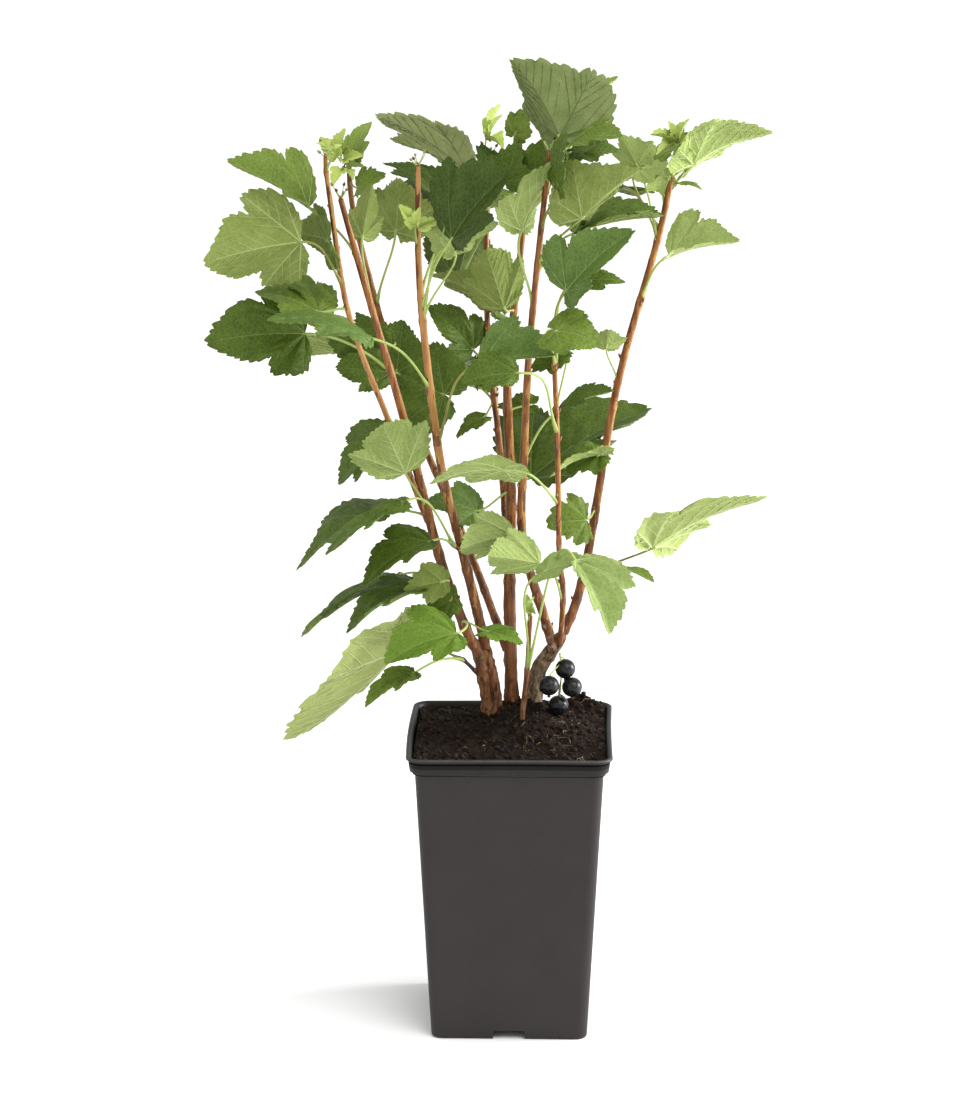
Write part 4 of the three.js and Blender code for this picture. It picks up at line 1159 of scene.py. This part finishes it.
for order, (name, cane) in enumerate(canes.items()):
    line = line_through([seen(*p) for p in ribs.get(name, []) + cane["points"]])
    long = np.linalg.norm(np.diff(points_on(line, np.linspace(0, 1, 60)), axis=0), axis=1).sum()
    steps = max(6, int(long / 1.9))
    share = np.linspace(0, 1, steps + 1)
    middle = points_on(line, share)
    above = share
    if name in ribs:
        foot = cane["line"](0)[2]
        above = np.clip((middle[:, 2] - foot) / (middle[-1, 2] - foot + 1e-9), 0, 1)
    thick, thin = cane["thick"]
    radius = 0.95 * (thick + (thin - thick) * above)
    draw = seeded(71 + 13 * order)
    own_leaves = [leaf for leaf in grown if leaf.cane == name]
    bare = np.arange(18 + 10 * draw(), long * 0.75, NODE_GAP)
    nodes = [leaf.root for leaf in own_leaves]
    nodes += [middle[min(steps, int(b / long * steps))] for b in bare]
    for root in nodes:
        away = np.linalg.norm(middle - root, axis=1)
        radius = radius + 0.12 * radius * np.exp(-((away / 2.6) ** 2))
    sides = 18 if thick > 3 else 12
    place = column(radius, share * long / 6, sides)
    streaks = noise(place, 1.6, order + 3) - 0.5
    lumps = noise(place * [1, 1, 3], 4.5, order + 31) - 0.5
    low = np.clip((330 - middle[:, 2]) / 90, 0, 1)[:, None]
    full = radius[:, None] * (1 + (0.05 + 0.16 * low) * streaks + (0.06 + 0.12 * low) * lumps)
    sway = [np.sin(share * long / 23 + order), np.sin(share * long / 31 + 2 * order), 0 * share]
    middle = middle + 0.3 * np.stack(sway, 1) * np.minimum(1, share * 6)[:, None]
    vertices, faces = sweep(middle, full, sides)
    canes_pile.add(vertices, faces, cane_paints(name, vertices[faces]))
    for k, root in enumerate(nodes):
        out = heading_of(2.4 * k + order)
        if k < len(own_leaves):
            out = (own_leaves[k].foot - root) * [1, 1, 0]
        out = unit(out)
        nearest = int(np.argmin(np.linalg.norm(middle - root, axis=1)))
        size = 2.4 + 1.8 * draw()
        colour = "bud_green" if root[2] > GREEN_BUDS or draw() > 0.75 else "bud_brown"
        start = middle[nearest] + out * radius[nearest] * 0.8
        bud(start, out * 0.55 + np.array([0, 0, 1]), size, 0.28 * size, colour)
    tip = middle[-1]
    way = tip - middle[-2]
    bud(tip - unit(way) * 0.5, way, 4, 1.3, "bud_green" if name == "right" else "bud_brown")
    if tip[2] < GREEN_BUDS:
        continue
    for k in range(5):
        out = heading_of(1.3 * k + order, 0.7 + draw())
        long = 4 + 6 * draw()
        share = np.linspace(0, 1, 5)
        strand = tip + np.outer(share * long, unit(out)) + np.outer(share**2, [0, 0, 0.2 * long])
        buds_pile.tube(strand, np.linspace(0.5, 0.35, 5), 6, "stalk_green")
        bud(strand[-1], out, 2 + 2 * draw(), 1.1, "flower_dry" if k % 2 else "bud_green")

for name, rows in stools.items():
    rows = np.array(rows, float)
    share = np.linspace(0, 1, 49)
    middle = points_on(line_through([seen(*row[:3]) for row in rows]), share)
    radius = np.interp(share * (len(rows) - 1), np.arange(len(rows)), rows[:, 3])
    below = middle[0] - unit(middle[1] - middle[0]) * np.array([[7.0], [4.5], [2.0]])
    top = middle[-1] + unit(middle[-1] - middle[-2]) * np.array([[1.2], [2.4], [3.2]])
    middle = np.concatenate([below, middle, top])
    foot_radius = rows[0, 3] * np.array([1.12, 1.1, 1.04])
    top_radius = rows[-1, 3] * np.array([0.85, 0.5, 0.1])
    radius = np.r_[foot_radius, radius, top_radius]
    sides = 36
    place = column(radius, middle[:, 2] * 0.35, sides)
    cracks = np.abs(noise(place, 2.1, 5) - 0.5) * 2
    knobs = noise(place, 6, 8) - 0.4
    full = radius[:, None] * (STOOL_SHARE[name] + 0.12 * (cracks - 0.4) + 0.26 * knobs)
    vertices, faces = sweep(middle, full, sides)
    centre = vertices[faces].mean(1)
    old = noise(centre * [1, 1, 0.4], 3, 21) > 0.35 + (centre[:, 2] - GREY_TOP[name]) / 30
    canes_pile.add(vertices, faces, np.where(old, "bark_grey", "bark_stool").astype(object))

bare_nodes = [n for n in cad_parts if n.startswith(("bough_", "trunk_"))]
canes_pile.piece("canes", "cane_bark", bare_nodes + list(masses))
buds_pile.piece("buds", "leaf")


# Berries

fruit, strigs = Pile(), Pile()
string = line_through([seen(*p) for p in string_line])
strigs.tube(points_on(string, np.linspace(0, 1, 16)), np.linspace(0.8, 0.45, 16), 8, "stalk_green")
for i, berry in enumerate(berries):
    centre = seen(*berry)
    size = BERRY_GROWN * BERRY
    tilt = np.linspace(math.pi, 0, 26)
    line = centre + np.outer(np.cos(tilt) * size * 0.98, [0, 0, 1])
    fruit.tube(line, np.maximum(np.sin(tilt) * size, 0.02), 36, "berry_skin")
    start = string(0.15 + 0.16 * i)
    end = centre + np.array([0, 0, BERRY * 0.9])
    bend = (start + end) / 2 + np.array([0, 0, 2.0])
    t = np.linspace(0, 1, 9)[:, None]
    line = start * (1 - t) ** 2 + bend * 2 * t * (1 - t) + end * t * t
    strigs.tube(line, np.linspace(0.45, 0.6, 9), 8, "stalk_green")
    low = centre - np.array([0, 0, BERRY * 0.93])
    for k in range(6):
        a = 2 * math.pi * k / 6 + i
        tip = low + np.array([math.cos(a) * 1.3, math.sin(a) * 1.3, -2.4])
        strigs.tube([low, (low + tip) / 2 + [0, 0, -0.5], tip], [0.9, 0.6, 0.15], 6, "berry_calyx")
fruit.piece("berries", "berry", ["berry_string"])
strigs.piece("berry_stalks", "leaf", ["berry_string"])


# Pot

def square_ring(width, corner, z, side=8):
    """A rounded square ring, anticlockwise from the right-hand side, with side steps on each side."""
    flat_half = width / 2 - corner
    arc = 10
    ring = []
    for quarter in range(4):
        start = quarter * math.pi / 2
        cx = flat_half * (1 if quarter in (0, 3) else -1)
        cy = flat_half * (1 if quarter < 2 else -1)
        for k in range(arc + 1):
            a = start + k * math.pi / 2 / arc
            ring.append([cx + corner * math.cos(a), cy + corner * math.sin(a), z])
        first = np.array(ring[-1])
        last = first + heading_of(start + math.pi) * 2 * flat_half
        for k in range(1, side):
            ring.append(list(first + (last - first) * k / side))
    return np.array(ring)


BAND_TOP = POT_HEIGHT - LIP_THICK
BAND_FOOT = BAND_TOP - BAND_HEIGHT
INSIDE = BODY_TOP_WIDTH - 2 * WALL
INSIDE_FLOOR = BODY_BASE_WIDTH - 2 * WALL + 1
INSIDE_BAND = BAND_WIDTH - 6
# Rings from the underside up the outside, over the lip and down the inside: width, corner, height.
body_rows = [
    (BODY_BASE_WIDTH - 5, BODY_CORNER - 2.5, 0),
    (BODY_BASE_WIDTH - 2.4, BODY_CORNER - 1.2, 0.3),
    (BODY_BASE_WIDTH - 0.6, BODY_CORNER - 0.3, 1.2),
    (BODY_BASE_WIDTH, BODY_CORNER, 2.6),
]
body_rows += [
    (BODY_BASE_WIDTH + (BODY_TOP_WIDTH - BODY_BASE_WIDTH) * s, BODY_CORNER, 2.6 + (BAND_FOOT - 2.1) * s)
    for s in np.linspace(0.02, 0.985, 24)
]
body_rows += [
    (BODY_TOP_WIDTH, BODY_CORNER, BAND_FOOT + 0.5),
    (BODY_TOP_WIDTH + 1.2, BODY_CORNER + 0.8, BAND_FOOT + 0.9),
    (BAND_WIDTH - 4, RIM_CORNER - 2, BAND_FOOT + 1.0),
    (BAND_WIDTH - 2.6, RIM_CORNER - 1.2, BAND_FOOT + 1.4),
    (BAND_WIDTH - 2.2, RIM_CORNER - 1, BAND_FOOT + 2.2),
    (BAND_WIDTH - 1.4, RIM_CORNER - 0.6, BAND_FOOT + 5),
    (BAND_WIDTH - 0.6, RIM_CORNER - 0.2, BAND_TOP - 2.2),
    (BAND_WIDTH - 2.4, RIM_CORNER - 1, BAND_TOP - 1.6),
    (BAND_WIDTH - 2.4, RIM_CORNER - 1, BAND_TOP - 0.3),
    (LIP_WIDTH - 1.0, RIM_CORNER, BAND_TOP + 0.1),
    (LIP_WIDTH, RIM_CORNER, BAND_TOP + 0.7),
    (LIP_WIDTH, RIM_CORNER, POT_HEIGHT - 1.1),
    (LIP_WIDTH - 0.7, RIM_CORNER - 0.3, POT_HEIGHT - 0.4),
    (LIP_WIDTH - 2.0, RIM_CORNER - 1, POT_HEIGHT),
    (LIP_WIDTH - 4.4, RIM_CORNER - 2, POT_HEIGHT - 0.1),
    (INSIDE_BAND + 2.4, RIM_CORNER - 3, POT_HEIGHT - 0.7),
    (INSIDE_BAND + 1.2, RIM_CORNER - 3, POT_HEIGHT - 1.8),
    (INSIDE_BAND + 0.6, RIM_CORNER - 3, POT_HEIGHT - 4),
    (INSIDE_BAND, RIM_CORNER - 3, BAND_FOOT),
    (INSIDE, BODY_CORNER - WALL, BAND_FOOT - 4),
    (INSIDE_FLOOR, BODY_CORNER - WALL, FLOOR),
]
pot_points = np.concatenate([square_ring(*row) for row in body_rows])
# The upper part of the walls bows a little, each side in its own way, and the lip isn't quite level.
x, y, z = pot_points.T.copy()
rise = np.clip((z - 120) / 100, 0, 1) ** 2
bow = np.clip(1 - (y / 60) ** 2, 0, 1) * rise
pot_points[:, 0] -= np.where(x < -50, LEFT_BOW * bow, np.where(x > 50, RIGHT_BOW * bow, 0))
x = pot_points[:, 0]  # with its bow
pot_points[:, 1] -= np.where(y < -50, FRONT_BOW * np.clip(1 - (x / 60) ** 2, 0, 1) * rise, 0)
pot_points[:, 2] += np.where(z > BAND_FOOT, 0.35 * np.sin(x / 31 + 1) - 0.35, 0)
pot_points = np.concatenate([pot_points, [[0, 0, 0], [0, 0, FLOOR]]])
sides = len(square_ring(*body_rows[0]))
pot_faces = capped_faces(len(body_rows), sides)
# The band under the lip is painted darker as shade, most of all in the lip's shade, and the lip's rounded
# top, except along the back, has a painted highlight.
row_of = np.minimum(np.arange(len(pot_faces)) // (2 * sides), len(body_rows) - 1)
lip_row = [row[0] > BAND_WIDTH for row in body_rows].index(True)
low_edge = np.array([row[2] for row in body_rows])[row_of]
in_front = pot_points[pot_faces].mean(1)[:, 1] < 60
plastic = np.full(len(pot_faces), "pot_plastic", object)
# Painted shade on the band, deepest just under the lip.
plastic[(row_of < lip_row) & (low_edge > BAND_FOOT + 1.2)] = "pot_band_foot"
plastic[(row_of < lip_row) & (low_edge > BAND_FOOT + 4)] = "pot_band"
plastic[(row_of > lip_row + 1) & (row_of < lip_row + 4) & in_front] = "pot_edge"
pot_pile = Pile()
pot_pile.add(pot_points, pot_faces, plastic)
pot = pot_pile.piece("pot_shell", "pot", ["pot"])
cutters = []
for quarter in range(4):
    a = quarter * math.pi / 2
    half = NOTCH_WIDTH / 2
    corners = []
    for out in (BODY_BASE_WIDTH / 2 - NOTCH_REACH, BODY_BASE_WIDTH / 2 + 3):
        for x, z in ((-half, -1), (half, -1), (half - 0.8, NOTCH_HEIGHT), (0.8 - half, NOTCH_HEIGHT)):
            corners.append([x * math.cos(a) - out * math.sin(a), x * math.sin(a) + out * math.cos(a), z])
    walls = [[0, 1, 2, 3], [7, 6, 5, 4], [0, 4, 5, 1], [1, 5, 6, 2], [2, 6, 7, 3], [3, 7, 4, 0]]
    mesh = bpy.data.meshes.new("notch")
    mesh.from_pydata((np.array(corners) * MM).tolist(), [], walls)
    cutters.append(shown("notch", mesh))
    cut = pot.modifiers.new("notch", "BOOLEAN")
    cut.operation = "DIFFERENCE"
    cut.solver = "EXACT"
    cut.object = cutters[-1]
bpy.context.view_layer.update()
evaluated = pot.evaluated_get(bpy.context.evaluated_depsgraph_get())
notched = bpy.data.meshes.new_from_object(evaluated)
pot.modifiers.clear()
pot.data = notched
for cutter in cutters:
    bpy.data.objects.remove(cutter)
notched.set_sharp_from_angle(angle=math.radians(38))


# Soil

def mound(x, y):
    away = np.hypot(x - MOUND_X, y - MOUND_Y) / MOUND_REACH
    lumps = 0.8 * np.sin(x * 0.21 + 1) * np.cos(y * 0.17) + 0.6 * np.sin(x * 0.43 - y * 0.31)
    return SOIL_EDGE + MOUND_RISE * np.exp(-away * away) + lumps


def soil_top(x, y):
    """The height of the peat, with clods and grit and a small heap at the back right."""
    place = np.stack([x, y, 0 * x], -1)
    coarse = 1 - np.abs(2 * noise(place, 7, 4) - 1)
    fine = 1 - np.abs(2 * noise(place, 2.6, 9) - 1)
    grit = noise(place, 1.2, 14)
    heap = HEAP_RISE * np.exp(-(((x - HEAP_X) / HEAP_WIDE) ** 2) - ((y - HEAP_Y) / HEAP_DEEP) ** 2)
    return mound(x, y) + heap * (0.7 + 0.6 * coarse) - 2.4 + 2.0 * coarse + 1.3 * fine + 0.7 * grit


def on_soil(x, y):
    return soil_top(np.array([x]), np.array([y]))[0]


rim = INSIDE_BAND - 1
rim_corner = RIM_CORNER - 3.3
soil_rings = []
for share in np.linspace(0.004, 1, 84):
    ring = square_ring(rim * share, rim_corner * share, 0, side=44)
    ring[:, 2] = soil_top(ring[:, 0], ring[:, 1])
    soil_rings.append(ring)
soil_rings.append(square_ring(rim, rim_corner, SOIL_EDGE - 9, side=44))
soil_faces = grid_faces(len(soil_rings), len(soil_rings[0]))[:, ::-1]
soil_pile = Pile()
soil_pile.add(np.concatenate(soil_rings), soil_faces, "peat_dark")
soil_pile.piece("peat", "soil", ["soil"])

draw = seeded(515)
crumbs = Pile()
# A crumb is a body of 20 triangles with each corner pulled in or out.
gold = (1 + 5**0.5) / 2
signs = [(-1, 1), (1, 1), (-1, -1), (1, -1)]
ico = [[a, b * gold, 0] for a, b in signs]
ico += [[0, a, b * gold] for a, b in signs]
ico += [[b * gold, 0, a] for a, b in signs]
ico = np.array(ico) / np.linalg.norm(ico[0])
ico_faces = np.array([
    [0, 11, 5], [0, 5, 1], [0, 1, 7], [0, 7, 10], [0, 10, 11], [1, 5, 9], [5, 11, 4], [11, 10, 2],
    [10, 7, 6], [7, 1, 8], [3, 9, 4], [3, 4, 2], [3, 2, 6], [3, 6, 8], [3, 8, 9], [4, 9, 5], [2, 4, 11],
    [6, 2, 10], [8, 6, 7], [9, 8, 1],
])
half_rim = rim / 2 - 1.5
for k in range(CRUMBS):
    x, y = (2 * draw() - 1) * half_rim, (2 * draw() - 1) * half_rim
    size = 0.5 + 1.9 * draw() ** 3
    shape = ico * size * (0.7 + 0.5 * np.array([draw() for _ in range(12)]))[:, None]
    shape = shape * [1, 0.7 + 0.5 * draw(), 0.6 + 0.4 * draw()]
    kind = draw()
    colour = "peat_brown" if kind > 0.72 else "peat_black" if kind > 0.45 else "peat_dark"
    crumbs.add(shape + [x, y, on_soil(x, y) + 0.2 * size], ico_faces, colour)
for x, y, reach, count in COLLARS:
    for k in range(count):
        heading = 2 * math.pi * draw()
        away = reach * (0.94 + 0.22 * draw())
        size = 0.6 + 1.3 * draw()
        px, py = x + away * math.cos(heading), y + away * math.sin(heading)
        pz = on_soil(px, py) + 3.5 * draw() * draw()
        crumbs.add(ico * size + [px, py, pz], ico_faces, "peat_brown" if draw() > 0.7 else "peat_dark")
for k in range(FIBRES):
    x, y = half_rim * (draw() * 2 - 1), half_rim * (draw() * 2 - 1)
    if x < 5 and draw() > 0.15:
        x = abs(x)
    way = 2 * math.pi * draw()
    long = 3 + 9 * draw() ** 2
    bend = (draw() - 0.5) * 2.4
    share = np.linspace(-0.5, 0.5, 8)
    head = way + bend * share
    px = np.clip(x + np.cumsum(np.cos(head)) * long / 8, -half_rim, half_rim)
    py = np.clip(y + np.cumsum(np.sin(head)) * long / 8, -half_rim, half_rim)
    pz = soil_top(px, py) + 0.35 + 0.8 * draw() * (1 - (2 * share) ** 2)
    radius = (0.1 + 0.14 * draw()) * np.ones(8)
    crumbs.tube(np.stack([px, py, pz], 1), radius, 5, "fibre_pale" if draw() > 0.4 else "fibre_dark")
crumbs.piece("peat_crumbs", "soil")


# Floor, light and camera

s = FLOOR_SIZE / 2
floor_mesh = bpy.data.meshes.new("floor")
floor_mesh.from_pydata([(-s, -s, 0), (s, -s, 0), (s, s, 0), (-s, s, 0)], [], [(0, 1, 2, 3)])
floor_mesh.materials.append(bpy.data.materials["studio_white"])
floor = shown("floor", floor_mesh)

world = bpy.data.worlds.new("studio")
world.use_nodes = True
world.node_tree.nodes["Background"].inputs["Color"].default_value = (1, 1, 1, 1)
world.node_tree.nodes["Background"].inputs["Strength"].default_value = SKY_STRENGTH
bpy.context.scene.world = world


def look(made, way):
    """Turns a light or the camera so that it looks along way."""
    made.rotation_mode = "QUATERNION"
    made.rotation_quaternion = Vector(way).to_track_quat("-Z", "Y")


def lamp(name, place, aim, power, size):
    light = bpy.data.lights.new(name, "AREA")
    light.energy = power
    light.size = size
    made = shown(name, light)
    made.location = [c * MM for c in place]
    look(made, np.subtract(aim, place).tolist())


sun = bpy.data.lights.new("key", "SUN")
sun.energy = KEY_STRENGTH
sun.angle = math.radians(40)
look(shown("key", sun), (-0.7, 1.0, -1.6))
lamp("fill", (-1700, -1400, 1500), (0, 0, 350), 4, 1.6)
lamp("side", (1900, 250, 800), (0, 0, 400), 52, 0.8)

camera_data = bpy.data.cameras.new("camera")
camera_data.lens = LENS
camera_data.sensor_width = SENSOR
camera_data.sensor_fit = "AUTO"
camera_data.clip_start = 0.05
camera_data.clip_end = 60
camera = shown("camera", camera_data)
camera.location = [c * MM for c in EYE]
look(camera, (AIM - EYE).tolist())
bpy.context.scene.camera = camera
bpy.context.scene.view_settings.view_transform = "Standard"
